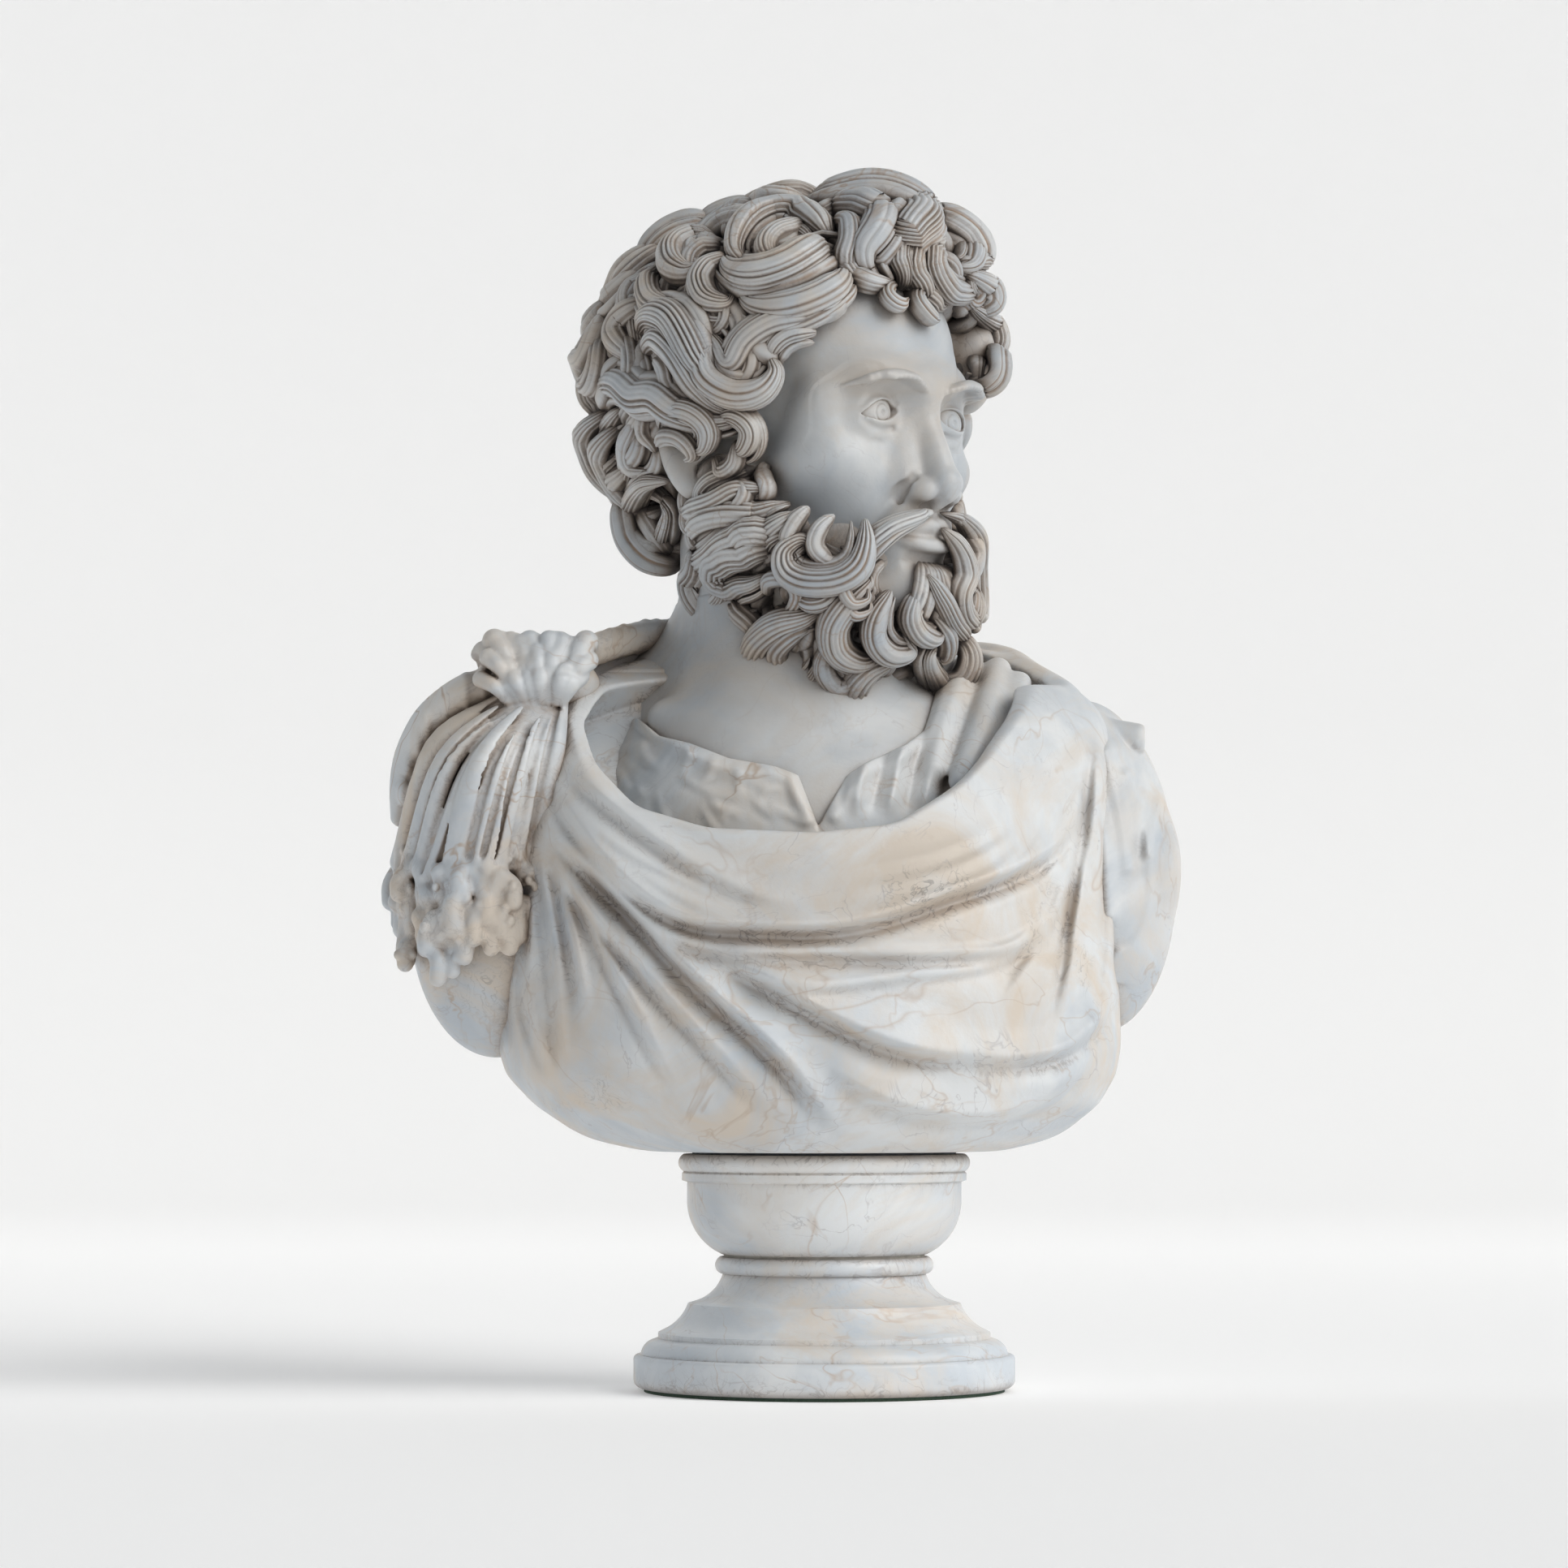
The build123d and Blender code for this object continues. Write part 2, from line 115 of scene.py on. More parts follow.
class Clay:
    """Signed distance in millimetres on a grid whose axes are the row's."""

    def __init__(self, low, high, step):
        self.low = np.array(low, float)
        self.step = step
        self.size = np.ceil((np.array(high) - self.low) / step).astype(int) + 1
        self.field = np.full(self.size, FAR, np.float32)
        self.axis = [(self.low[i] + step * np.arange(self.size[i])).astype(np.float32) for i in range(3)]

    def window(self, low, high):
        """The slices of the grid between two corners, and the x, y and z there."""
        a = np.clip(((np.asarray(low) - self.low) / self.step).astype(int), 0, self.size)
        b = np.clip(((np.asarray(high) - self.low) / self.step).astype(int) + 2, 0, self.size)
        b = np.maximum(a, b)
        where = tuple(slice(i, j) for i, j in zip(a, b))
        x, y, z = (self.axis[i][where[i]] for i in range(3))
        return where, x[:, None, None], y[None, :, None], z[None, None, :]

    def whole(self):
        return self.window(self.low, self.low + self.size * self.step)

    def add(self, where, d, soft):
        """Smooth union, rounding the crease over a width of soft."""
        self.field[where] = joined(self.field[where], np.asarray(d, np.float32), soft)

    def cut(self, where, d, soft):
        """Smooth subtraction."""
        self.field[where] = -joined(-self.field[where], np.asarray(d, np.float32), soft)

    def blob(self, centre, radii, soft=0.0, axes=np.eye(3), cut=False):
        """An ellipsoid, added or cut."""
        centre = np.asarray(centre, float)
        reach = max(radii) + soft + 2 * self.step
        where, x, y, z = self.window(centre - reach, centre + reach)
        dx, dy, dz = x - centre[0], y - centre[1], z - centre[2]
        near = 0
        slope = 0
        for axis, radius in zip(axes, radii):
            along = float(axis[0]) * dx + float(axis[1]) * dy + float(axis[2]) * dz
            near = near + (along / radius) ** 2
            slope = slope + (along / radius**2) ** 2
        near = np.sqrt(near)
        d = near * (near - 1) / np.maximum(np.sqrt(slope), 1e-6)
        (self.cut if cut else self.add)(where, d, soft)

    def stroke(self, points, radii, soft=0.0, cut=False, per_span=6):
        """A rounded tube of changing radius along a smooth curve."""
        radii = np.broadcast_to(np.asarray(radii, float), (len(points),))
        path = spline(np.column_stack([points, radii]), per_span)
        reach = path[:, 3].max() + soft + 2 * self.step
        where, x, y, z = self.window(path[:, :3].min(0) - reach, path[:, :3].max(0) + reach)
        start = [s.start for s in where]
        best = np.full([s.stop - s.start for s in where], FAR, np.float32)
        for a, b in zip(path[:-1], path[1:]):
            near = max(a[3], b[3]) + soft + 2 * self.step
            part, px, py, pz = self.window(np.minimum(a, b)[:3] - near, np.maximum(a, b)[:3] + near)
            along = (b - a)[:3]
            length2 = max(float(along @ along), 1e-6)
            dx, dy, dz = px - a[0], py - a[1], pz - a[2]
            t = np.clip((dx * along[0] + dy * along[1] + dz * along[2]) / length2, 0, 1)
            gap = (dx - t * along[0]) ** 2 + (dy - t * along[1]) ** 2 + (dz - t * along[2]) ** 2
            d = np.sqrt(gap) - (a[3] + t * (b[3] - a[3]))
            here = tuple(slice(p.start - s, p.stop - s) for p, s in zip(part, start))
            best[here] = np.minimum(best[here], d)
        (self.cut if cut else self.add)(where, best, soft)

    def mesh(self, name, material):
        """The clay's surface as a smooth mesh object."""
        band = 6 * self.step
        grid = openvdb.FloatGrid(band)
        grid.copyFromArray(np.clip(self.field, -band, band))
        points, quads = grid.convertToQuads()
        verts = (points * self.step + self.low) * MM
        return add_mesh(name, verts, quads[:, ::-1], material)


def add_mesh(name, verts, quads, material):
    """A smooth-shaded mesh object of four-sided faces."""
    mesh = bpy.data.meshes.new(name)
    mesh.vertices.add(len(verts))
    mesh.vertices.foreach_set("co", np.asarray(verts, np.float32).ravel())
    mesh.loops.add(quads.size)
    mesh.loops.foreach_set("vertex_index", np.asarray(quads, np.int32).ravel())
    mesh.polygons.add(len(quads))
    mesh.polygons.foreach_set("loop_start", np.arange(0, quads.size, 4, dtype=np.int32))
    mesh.polygons.foreach_set("use_smooth", np.ones(len(quads), bool))
    mesh.update(calc_edges=True)
    mesh.validate()
    piece = bpy.data.objects.new(name, mesh)
    bpy.context.scene.collection.objects.link(piece)
    mesh.materials.append(material)
    return piece


# --- marble -------------------------------------------------------------------------------------
class Shader:
    """Shorthand for wiring nodes into one material."""

    def __init__(self, name):
        self.material = bpy.data.materials.new(name)
        self.material.use_nodes = True
        self.tree = self.material.node_tree
        self.surface = self.tree.nodes["Principled BSDF"]

    def node(self, kind, **values):
        made = self.tree.nodes.new(kind)
        for key, value in values.items():
            if hasattr(made, key):
                setattr(made, key, value)
            else:
                made.inputs[key.replace("_", " ")].default_value = value
        return made

    def link(self, source, target):
        self.tree.links.new(source, target)

    def noise(self, scale, detail=5, rough=0.55, warp=0.0, vector=None):
        made = self.node("ShaderNodeTexNoise", Scale=scale, Detail=detail, Roughness=rough, Distortion=warp)
        self.link(vector, made.inputs["Vector"])
        return made.outputs["Fac"]

    def ramp(self, source, stops):
        """A grey or coloured ramp: (position, value or colour) stops."""
        made = self.node("ShaderNodeValToRGB")
        while len(made.color_ramp.elements) < len(stops):
            made.color_ramp.elements.new(0.5)
        for element, (place, value) in zip(made.color_ramp.elements, stops):
            element.position = place
            element.color = (*value, 1) if isinstance(value, tuple) else (value, value, value, 1)
        self.link(source, made.inputs["Fac"])
        return made.outputs["Color"]

    def math(self, operation, a, b):
        made = self.node("ShaderNodeMath", operation=operation)
        for socket, value in zip(made.inputs, (a, b)):
            if isinstance(value, (int, float)):
                socket.default_value = value
            else:
                self.link(value, socket)
        return made.outputs[0]

    def mix(self, share, under, over):
        """Over laid on under as far as share says."""
        made = self.node("ShaderNodeMix", data_type="RGBA")
        for socket, value in ((made.inputs[0], share), (made.inputs[6], under), (made.inputs[7], over)):
            if isinstance(value, tuple):
                socket.default_value = (*value, 1)
            elif isinstance(value, (int, float)):
                socket.default_value = value
            else:
                self.link(value, socket)
        return made.outputs[2]

    def vein(self, scale, width, vector, warp=0.6):
        """Thin wandering lines, 1 on the line and 0 away from it."""
        band = self.noise(scale, 4, 0.5, warp, vector)
        off = self.math("ABSOLUTE", self.math("SUBTRACT", band, 0.5), 0.0)
        return self.ramp(off, [(0.0, 1.0), (width, 0.0)])


def marble(
    name, seed, patina_and_shade=1.0, warmth=1.0, gloss=0.42, crackle=1.0, hollow=0.02, grooved=False,
    tone_and_shade=1.0, reach=0.0, dark_shade=1.0, veins=1.0,
):
    """Pale, veined marble with warm clouds, and brown patina with painted shade in its hollows.

    Hollow is how deep in metres a hollow gathers patina and painted shade, reach brings them further out of
    it, and the dark-shade share sets how much of it is near-black painted shade. Veins and crackle scale the
    brown lines and the dark ones.
    """
    s = Shader(name)
    place = s.node("ShaderNodeTexCoord").outputs["Object"]
    shift = s.node("ShaderNodeMapping")
    shift.inputs["Location"].default_value = (seed * 1.7, seed * 0.9, seed * 2.3)
    s.link(place, shift.inputs["Vector"])
    at = shift.outputs["Vector"]

    # Tone scales all these colours down; the lower tones given to skin, hair and locks paint shade on them.
    cool, white, cream, tan = (
        tuple(tone_and_shade * c for c in colour)
        for colour in ((0.58, 0.63, 0.68), (0.79, 0.81, 0.82), (0.74, 0.66, 0.57), (0.50, 0.36, 0.25))
    )
    clouds = s.ramp(s.noise(8, 5, 0.6, 0.8, at), [(0.38, cool), (0.58, white)])
    warm = s.ramp(s.noise(10, 6, 0.62, 1.2, at), [(0.46, 0.0), (0.66, 0.85 * warmth)])
    colour = s.mix(warm, clouds, cream)

    # Two sorts of brown vein that come and go, fine grey ones, and short dark crackle.
    for where, fade, line, share, tint in (
        ((14, 3, 0.5, 0.4), [(0.46, 0.0), (0.62, 1.0)], (11, 0.012, at, 1.4), 0.7 * veins, tan),
        ((9, 3, 0.5, 0.6), [(0.42, 0.0), (0.58, 1.0)], (5, 0.006, at, 2.2), 0.7 * veins, tan),
        ((18, 2, 0.5, 0), [(0.48, 0.0), (0.6, 1.0)], (26, 0.009, at, 1.0), 0.45, (0.36, 0.34, 0.35)),
        ((10, 3, 0.6, 0.5), [(0.60, 0.0), (0.72, 0.55 * crackle)], (75, 0.03, at, 2.0), 0.75,
         (0.12, 0.11, 0.11)),
    ):
        patches = s.ramp(s.noise(*where, at), fade)
        lines = s.math("MULTIPLY", s.vein(*line), patches)
        colour = s.mix(s.math("MULTIPLY", lines, share), colour, tint)

    if grooved:
        # Dark lines along the grooves between strands, here and there: painted shade in the grooves, and
        # grime.
        groove = s.node("ShaderNodeAttribute", attribute_name="groove").outputs["Fac"]
        line = s.ramp(groove, [(0.18, 0.0), (0.75, 1.0)])
        worn = s.ramp(s.noise(26, 4, 0.6, 0.5, at), [(0.37, 0.2), (0.53, 1.0)])
        groove_shade_and_grime = s.ramp(s.noise(12, 3, 0.6, 0.5, at), [(0.42, (0.30, 0.20, 0.13)), (0.56, (0.09, 0.09, 0.10))])
        colour = s.mix(s.math("MULTIPLY", line, worn), colour, groove_shade_and_grime)

    # Brown patina and painted shade gather where the carving is deep, as the ambient occlusion finds it.
    deep = s.node("ShaderNodeAmbientOcclusion", samples=6, Distance=hollow)
    patina_and_shade_mask = s.math("ADD", deep.outputs["AO"], s.math("MULTIPLY", s.noise(60, 4, 0.6, 0.6, at), 0.22))
    brown_patina_and_shade = s.ramp(patina_and_shade_mask, [(0.42 + reach, 0.85 * patina_and_shade), (0.98 + reach, 0.0)])
    colour = s.mix(brown_patina_and_shade, colour, (0.42, 0.32, 0.24))
    # Fine dark cracks crowd along the hollows.
    near_fold = s.ramp(patina_and_shade_mask, [(0.70 + reach, 1.0), (1.08 + reach, 0.0)])
    webs = s.math("MULTIPLY", s.math("MULTIPLY", s.vein(48, 0.035, at, 2.4), near_fold), 0.45 * crackle)
    colour = s.mix(webs, colour, (0.16, 0.13, 0.12))
    # Near-black painted shade in the deepest hollows.
    painted_dark_shade = s.ramp(patina_and_shade_mask, [(0.22 + reach, 0.9 * patina_and_shade * dark_shade), (0.62 + 1.3 * reach, 0.0)])
    colour = s.mix(painted_dark_shade, colour, (0.07, 0.06, 0.055))
    s.link(colour, s.surface.inputs["Base Color"])

    rough = s.ramp(s.noise(35, 4, 0.6, 0.3, at), [(0.3, gloss - 0.06), (0.7, gloss + 0.1)])
    s.link(rough, s.surface.inputs["Roughness"])
    grain = s.noise(420, 3, 0.6, 0.0, at)
    chips = s.noise(60, 5, 0.65, 0.6, at)
    bump = s.node("ShaderNodeBump", Strength=0.22, Distance=0.0012)
    s.link(s.math("ADD", s.math("MULTIPLY", grain, 0.35), chips), bump.inputs["Height"])
    s.link(bump.outputs["Normal"], s.surface.inputs["Normal"])
    s.surface.inputs["Subsurface Weight"].default_value = 0.12
    s.surface.inputs["Subsurface Radius"].default_value = (0.006, 0.005, 0.004)
    s.surface.inputs["Subsurface Scale"].default_value = 1.0
    return s.material


def plain(name, colour, rough, metal=0.0, scale=120):
    """A material for a piece that is hidden in use: mottled colour and a little tooth."""
    s = Shader(name)
    place = s.node("ShaderNodeTexCoord").outputs["Object"]
    mottle = s.noise(scale, 5, 0.6, 0.4, place)
    dark = tuple(0.6 * c for c in colour)
    s.link(s.ramp(mottle, [(0.3, dark), (0.7, colour)]), s.surface.inputs["Base Color"])
    s.link(s.ramp(mottle, [(0.3, rough + 0.1), (0.7, rough)]), s.surface.inputs["Roughness"])
    bump = s.node("ShaderNodeBump", Strength=0.25, Distance=0.0004)
    s.link(s.noise(scale * 6, 4, 0.6, 0.0, place), bump.inputs["Height"])
    s.link(bump.outputs["Normal"], s.surface.inputs["Normal"])
    s.surface.inputs["Metallic"].default_value = metal
    return s.material


def dress(node, material):
    """Gives a carried-over CAD node its material."""
    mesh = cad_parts[node].data
    mesh.materials.clear()
    mesh.materials.append(material)


# The skin, hair and locks take lower tones than the cloth, tunic and socle of the same marble: painted shade
# on those parts.
skin_marble = marble(
    "marble_skin", 1, patina_and_shade=0.55, warmth=0.8, hollow=0.011, tone_and_shade=0.72, veins=0.2, crackle=0.3
)
cloth_marble = marble(
    "marble_cloth", 2, patina_and_shade=0.75, warmth=1.25, hollow=0.011, crackle=1.5, tone_and_shade=0.88, dark_shade=0.3, veins=0.55
)
tunic_marble = marble("marble_tunic", 3, patina_and_shade=0.8, hollow=0.012, tone_and_shade=0.87)
socle_marble = marble("marble_socle", 5, patina_and_shade=0.5, gloss=0.36, veins=0.75)
hair_marble = marble("marble_hair", 4, patina_and_shade=1.2, warmth=1.1, hollow=0.020, tone_and_shade=0.7)
drape_marble = marble("marble_drape", 6, patina_and_shade=1.1, warmth=1.3, hollow=0.016, tone_and_shade=0.86, dark_shade=0.75)
lock_marble = marble(
    "marble_locks", 4, patina_and_shade=1.25, warmth=1.1, hollow=0.026, grooved=True, tone_and_shade=0.72, reach=0.20
)


# --- the draped body ----------------------------------------------------------------------------
BODY_MID = (-10.0, 0.0)
# Height, then how far the cloak reaches to the right, to the left, ahead and behind.
CLOAK_SECTIONS = [
    (136, -94, 94, -90, 86),
    (140, -124, 120, -99, 92),
    (147, -142, 137, -106, 94),
    (163, -166, 157, -118, 94),
    (180, -182, 167, -127, 94),
    (196, -187, 170, -132, 94),
    (228, -188, 170, -136, 94),
    (262, -188, 170, -136, 94),
    (300, -188, 171, -132, 94),
    (330, -186, 171, -126, 92),
    (355, -182, 170, -117, 90),
    (380, -174, 163, -102, 88),
    (392, -160, 156, -92, 86),
    (404, -142, 142, -80, 84),
    (416, -116, 124, -64, 82),
    (426, -88, 110, -48, 80),
    (434, -50, 96, -30, 72),
    (438, -20, 60, -10, 60),
]
# The same for the chest under the tunic, round the neck.
CHEST_SECTIONS = [
    (240, -130, 120, -96, 80),
    (300, -138, 122, -96, 80),
    (335, -134, 116, -90, 80),
    (360, -122, 104, -80, 78),
    (385, -106, 88, -67, 75),
    (402, -92, 68, -58, 72),
    (418, -80, 50, -53, 70),
    (440, -74, 44, -50, 68),
]
CHEST_MID = (-18.0, 8.0)


def lofted(sections, middle, x, y, z):
    """Roughly the distance to a body lofted through oval sections."""
    rows = np.array(sections, float)
    fine = np.arange(rows[0, 0] - 10, rows[-1, 0] + 20, 1.0)
    sides = [np.interp(fine, rows[:, 0], rows[:, i]) for i in range(1, 5)]
    # Round the outline off where the sections meet.
    right, left, front, back = (np.interp(z, fine, smoothed(s, 15)).astype(np.float32) for s in sides)
    dx, dy = x - middle[0], y - middle[1]
    wide = np.where(dx < 0, middle[0] - right, left - middle[0])
    deep = np.where(dy < 0, middle[1] - front, back - middle[1])
    return (np.sqrt((dx / wide) ** 2 + (dy / deep) ** 2) - 1) * np.minimum(wide, deep)


def evened(field, step):
    """Scales a field so that it changes by a millimetre per millimetre."""
    slopes = np.gradient(field, step)
    steep = np.sqrt(sum(s * s for s in slopes))
    return field / np.maximum(steep, 0.35)


class Relief:
    """Folds drawn on the front: how far the cloth stands out at each x and z."""

    def __init__(self, x, z):
        self.x, self.z = x.reshape(-1, 1), z.reshape(1, -1)
        self.out = np.zeros((x.size, z.size), np.float32)

    def nearest(self, path, run):
        """How far each point is from the path, on which side, and its share of the path's run."""
        best = np.full(self.out.shape, 1e6, np.float32)
        side = np.zeros_like(best)
        share = np.zeros_like(best)
        for a, b, ra, rb in zip(path[:-1], path[1:], run[:-1], run[1:]):
            along = b - a
            length2 = max(along @ along, 1e-6)
            dx, dz = self.x - a[0], self.z - a[1]
            t = np.clip((dx * along[0] + dz * along[1]) / length2, 0, 1)
            gap = np.hypot(dx - t * along[0], dz - t * along[1])
            nearer = gap < best
            best = np.where(nearer, gap, best)
            side = np.where(nearer, np.sign(along[0] * dz - along[1] * dx), side)
            share = np.where(nearer, ra + t * (rb - ra), share)
        return best, side, share

    def fold(self, points, rise, above, drop, below, fade=0.25):
        """A fold whose crease follows the points. Cloth swells by rise on its left over a width of
        above, and sinks by drop on its right over a width of below."""
        path = spline(points, 6)
        lengths = np.hypot(*np.diff(path, axis=0).T)
        best, side, share = self.nearest(path, np.concatenate([[0], np.cumsum(lengths)]) / lengths.sum())
        strength = smoothstep(0, fade, share) * smoothstep(0, fade, 1 - share)
        signed = best * np.where(side > 0, 1, -1)
        swell = rise * np.clip(1 - np.maximum(signed, 0) / above, 0, 1) ** 1.6
        sink = -drop * np.clip(1 + np.minimum(signed, 0) / below, 0, 1) ** 1.8
        over = smoothstep(-5.0, 5.0, signed)
        self.out += (strength * (over * swell + (1 - over) * sink)).astype(np.float32)

    def ridge(self, points, height, width, fade=0.3):
        """A soft ridge, or a valley where height is negative."""
        path = spline(points, 6)
        best, _, share = self.nearest(path, np.linspace(0, 1, len(path)))
        strength = smoothstep(0, fade, share) * smoothstep(0, fade, 1 - share)
        self.out += (strength * height * np.exp(-((best / width) ** 2))).astype(np.float32)


# The cloak's loose edge, right round the neck: x, y and z, from the right shoulder's knot.
CLOAK_EDGE = [
    (-160, -45, 399),
    (-146, -85, 356),
    (-109, -104, 329),
    (-63, -114, 316),
    (-7, -118, 313),
    (35, -114, 318),
    (72, -102, 341),
    (109, -78, 378),
    (128, -52, 401),
    (150, -20, 402),
    (112, 40, 428),
    (70, 66, 431),
    (-20, 80, 436),
    (-95, 60, 434),
    (-140, 10, 420),
]
EDGE_MID = (-12.0, -10.0)
CLOTH = 7.0

cloak_step = 1.25
body = Clay((-262, -160, 134), (216, 104, 446), cloak_step)
where, bx, by, bz = body.whole()
base = evened(lofted(CLOAK_SECTIONS, BODY_MID, bx, by, bz), cloak_step)

folds = Relief(body.axis[0], body.axis[2])
# Swags under the band round the neck: crease, rise and reach above it, drop and reach below it.
SWAGS = [
    ([(-162, 370), (-152, 338), (-128, 301), (-101, 276), (-76, 263), (-38, 259), (2, 259), (34, 265),
      (64, 276), (99, 288), (123, 301), (139, 319), (148, 348)], 11, 44, 13, 11),
    ([(-157, 362), (-131, 337), (-101, 312), (-70, 291), (-40, 277), (-10, 272)], 5, 17, 5, 13),
    ([(-152, 322), (-122, 283), (-91, 259), (-64, 248), (-28, 245), (2, 245), (34, 244), (66, 244), (97, 247),
      (118, 258), (133, 280), (143, 306)], 5, 9, 9, 13),
    ([(-159, 322), (-137, 297), (-113, 274), (-89, 248), (-64, 223), (-40, 202), (-19, 181), (-4, 160),
      (12, 143)], 8, 20, 15, 15),
    ([(-160, 308), (-143, 286), (-119, 255), (-95, 228), (-70, 201), (-46, 175), (-24, 152)], 6, 11, 8, 13),
    ([(-72, 244), (-40, 233), (2, 210), (34, 196), (64, 189), (98, 190)], 9, 30, 12, 19),
    ([(-48, 242), (-16, 228), (10, 228), (44, 233), (86, 238), (116, 252), (134, 276)], 6, 12, 4, 20),
    ([(70, 186), (104, 187), (132, 192), (152, 206), (164, 228)], 8, 20, 8, 15),
    ([(-10, 190), (24, 168), (62, 156), (100, 156), (130, 170), (158, 202)], 6, 22, 6, 18),
]
for crease, rise, above, drop, below in SWAGS:
    folds.fold(crease, 1.25 * rise, above, 1.1 * drop, 1.1 * below)
# Straighter folds that hang from the two shoulders.
HANGING = [
    ([(-158, 318), (-146, 276), (-139, 240), (-136, 200)], 5, 9, 9, 9),
    ([(-161, 312), (-157, 268), (-152, 232), (-149, 196), (-144, 160)], 5, 8, 8, 8),
    ([(-150, 310), (-130, 258), (-106, 214), (-80, 162)], 6, 12, 8, 10),
    ([(-164, 300), (-168, 262), (-168, 226), (-158, 190), (-140, 160)], 4, 8, 6, 9),
    ([(-172, 262), (-179, 224), (-172, 190)], 3, 6, 5, 8),
    ([(154, 384), (148, 322), (140, 280), (134, 240), (122, 196)], 8, 12, 9, 9),
    ([(156, 340), (149, 300), (145, 262), (142, 222)], 3, 6, 5, 6),
    ([(164, 322), (160, 282), (158, 240), (154, 204)], 4, 7, 6, 7),
    ([(136, 300), (124, 268), (108, 240), (92, 216)], 4, 9, 5, 9),
]
for crease, rise, above, drop, below in HANGING:
    folds.fold(crease, rise, above, drop, below, 0.3)
# Fine folds that spread from where the cloth is gathered, under the knot and at the left shoulder.
spread = np.random.default_rng(21)
for step in range(15):
    t = step / 14
    start = np.array([-158 + 4 * t, 334 - 34 * t])
    heading = math.radians(-28 - 58 * t + spread.normal(0, 2))
    end = start + spread.uniform(90, 170) * np.array([math.cos(heading), math.sin(heading)])
    middle = (start + end) / 2 + (0, 10 * t - 8)
    folds.fold([start, middle, end], spread.uniform(1.6, 4.0), 7, spread.uniform(1.8, 4.2), 6, 0.45)
for step in range(9):
    t = step / 8
    start = np.array([149 - 3 * t, 352 - 40 * t])
    heading = math.radians(-128 + 34 * t + spread.normal(0, 2))
    end = start + spread.uniform(60, 120) * np.array([math.cos(heading), math.sin(heading)])
    middle = (start + end) / 2 + (5, -5)
    folds.fold([end, middle, start], spread.uniform(1.6, 3.6), 7, spread.uniform(1.6, 3.8), 6, 0.45)
BAND_RIGHT = [(-156, 366), (-128, 326), (-92, 300), (-50, 286), (-16, 282)]
BAND_LEFT = [(-20, 296), (30, 292), (84, 308), (124, 340)]
for band, shifts, rise, above, drop, below in (
    (BAND_RIGHT, (10, 19), 1.8, 9, 1.8, 8),
    (BAND_LEFT, (0, 12, 26), 1.4, 11, 1.6, 9),
):
    for shift in shifts:
        folds.fold([(x, z - shift) for x, z in band], rise, above, drop, below, 0.4)
facing = 1 - smoothstep(-10, 55, by)
body.field = base - folds.out[:, None, :] * facing

# The loose edge: a sheet that stands clear of the tunic, cut off along the neckline.
edge = np.array(CLOAK_EDGE, float)
angle = np.degrees(np.arctan2(edge[:, 1] - EDGE_MID[1], edge[:, 0] - EDGE_MID[0]))
order = np.argsort(angle)
turn = np.degrees(np.arctan2(by - EDGE_MID[1], bx - EDGE_MID[0]))
rim = np.interp(np.arange(-180, 181, 2.0), angle[order], edge[order, 2], period=360)
rim_z = np.interp(turn, np.arange(-180, 181, 2.0), smoothed(rim, 7, "wrap")).astype(np.float32)
above_rim = rim_z - bz
body.cut(where, above_rim, 2.2)
gap_depth = 42.0
opening = np.maximum(base + CLOTH + 1.0, (rim_z - gap_depth) - bz)
open_side = smoothstep(60, 110, np.abs(turn - (-40)))
closed = open_side * smoothstep(-26, 26, by - EDGE_MID[1])
body.cut(where, opening + 40 * closed, 5.0)

# Rolls along the loose edge, over both shoulders.
roll = [(52, 72, 424), (84, 58, 426), (108, 40, 420), (124, 10, 406), (138, -18, 396)]
body.stroke(roll, [7, 8, 9, 8, 6], 7)
body.stroke([(-142, -6, 410), (-118, 20, 422), (-90, 44, 428), (-50, 62, 430)], [8, 9, 8, 6], 8)

# The sawn back and underside.
SEAT_TOP = millimetres("seat_shim")[1][2]
body.cut(where, BACK_Y - by, 2.0)
# Two hollows behind, with a post between them.
HOLLOW_LOW, HOLLOW_HIGH, HOLLOW_FLOOR = 190, 286, -16
for x0, x1 in ((-114, -24), (24, 88)):
    hollow = np.maximum(np.maximum(x0 - bx, bx - x1), np.maximum(HOLLOW_LOW - bz, bz - HOLLOW_HIGH))
    body.cut(where, np.maximum(hollow, HOLLOW_FLOOR - by), 14.0)
body.cut(where, bz - SEAT_TOP - 0.1, 2.0)
cloak = body.mesh("cloak", cloth_marble)
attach(cloak, "root")
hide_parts("torso")


# --- tunic, in the cloak's neckline -------------------------------------------------------------
tunic_step = 1.3
tunic = Clay((-152, -122, 296), (132, 92, 446), tunic_step)
where, tx, ty, tz = tunic.whole()
shirt = evened(lofted(CHEST_SECTIONS, CHEST_MID, tx, ty, tz), tunic_step) - 4.5
pleats = Relief(tunic.axis[0], tunic.axis[2])
spread = np.random.default_rng(3)
for start in range(72):
    # Crumpled linen: short creases that mostly run down and in, each with a fuller side.
    x0, z0 = spread.uniform(-128, -14), spread.uniform(322, 420)
    heading, length = spread.normal(-0.75, 0.55), spread.uniform(14, 34)
    end = (x0 + length * math.cos(heading), z0 + length * math.sin(heading))
    middle = ((x0 + end[0]) / 2 + spread.normal(0, 2.5), (z0 + end[1]) / 2 + spread.normal(0, 2.5))
    pleats.fold([(x0, z0), middle, end], spread.uniform(1.5, 3.4), 7, spread.uniform(1.5, 3.4), 5, 0.35)
for shift in range(8):
    x0 = 10 + 9.5 * shift
    pleats.ridge([(x0 + 20, 408), (x0 + 6, 366), (x0 - 4, 322)], 3.4 if shift % 2 else -2.8, 3.2, 0.15)
hem = [(-112, 398), (-100, 376), (-78, 362), (-54, 350), (-24, 346), (-14, 332), (-8, 316)]
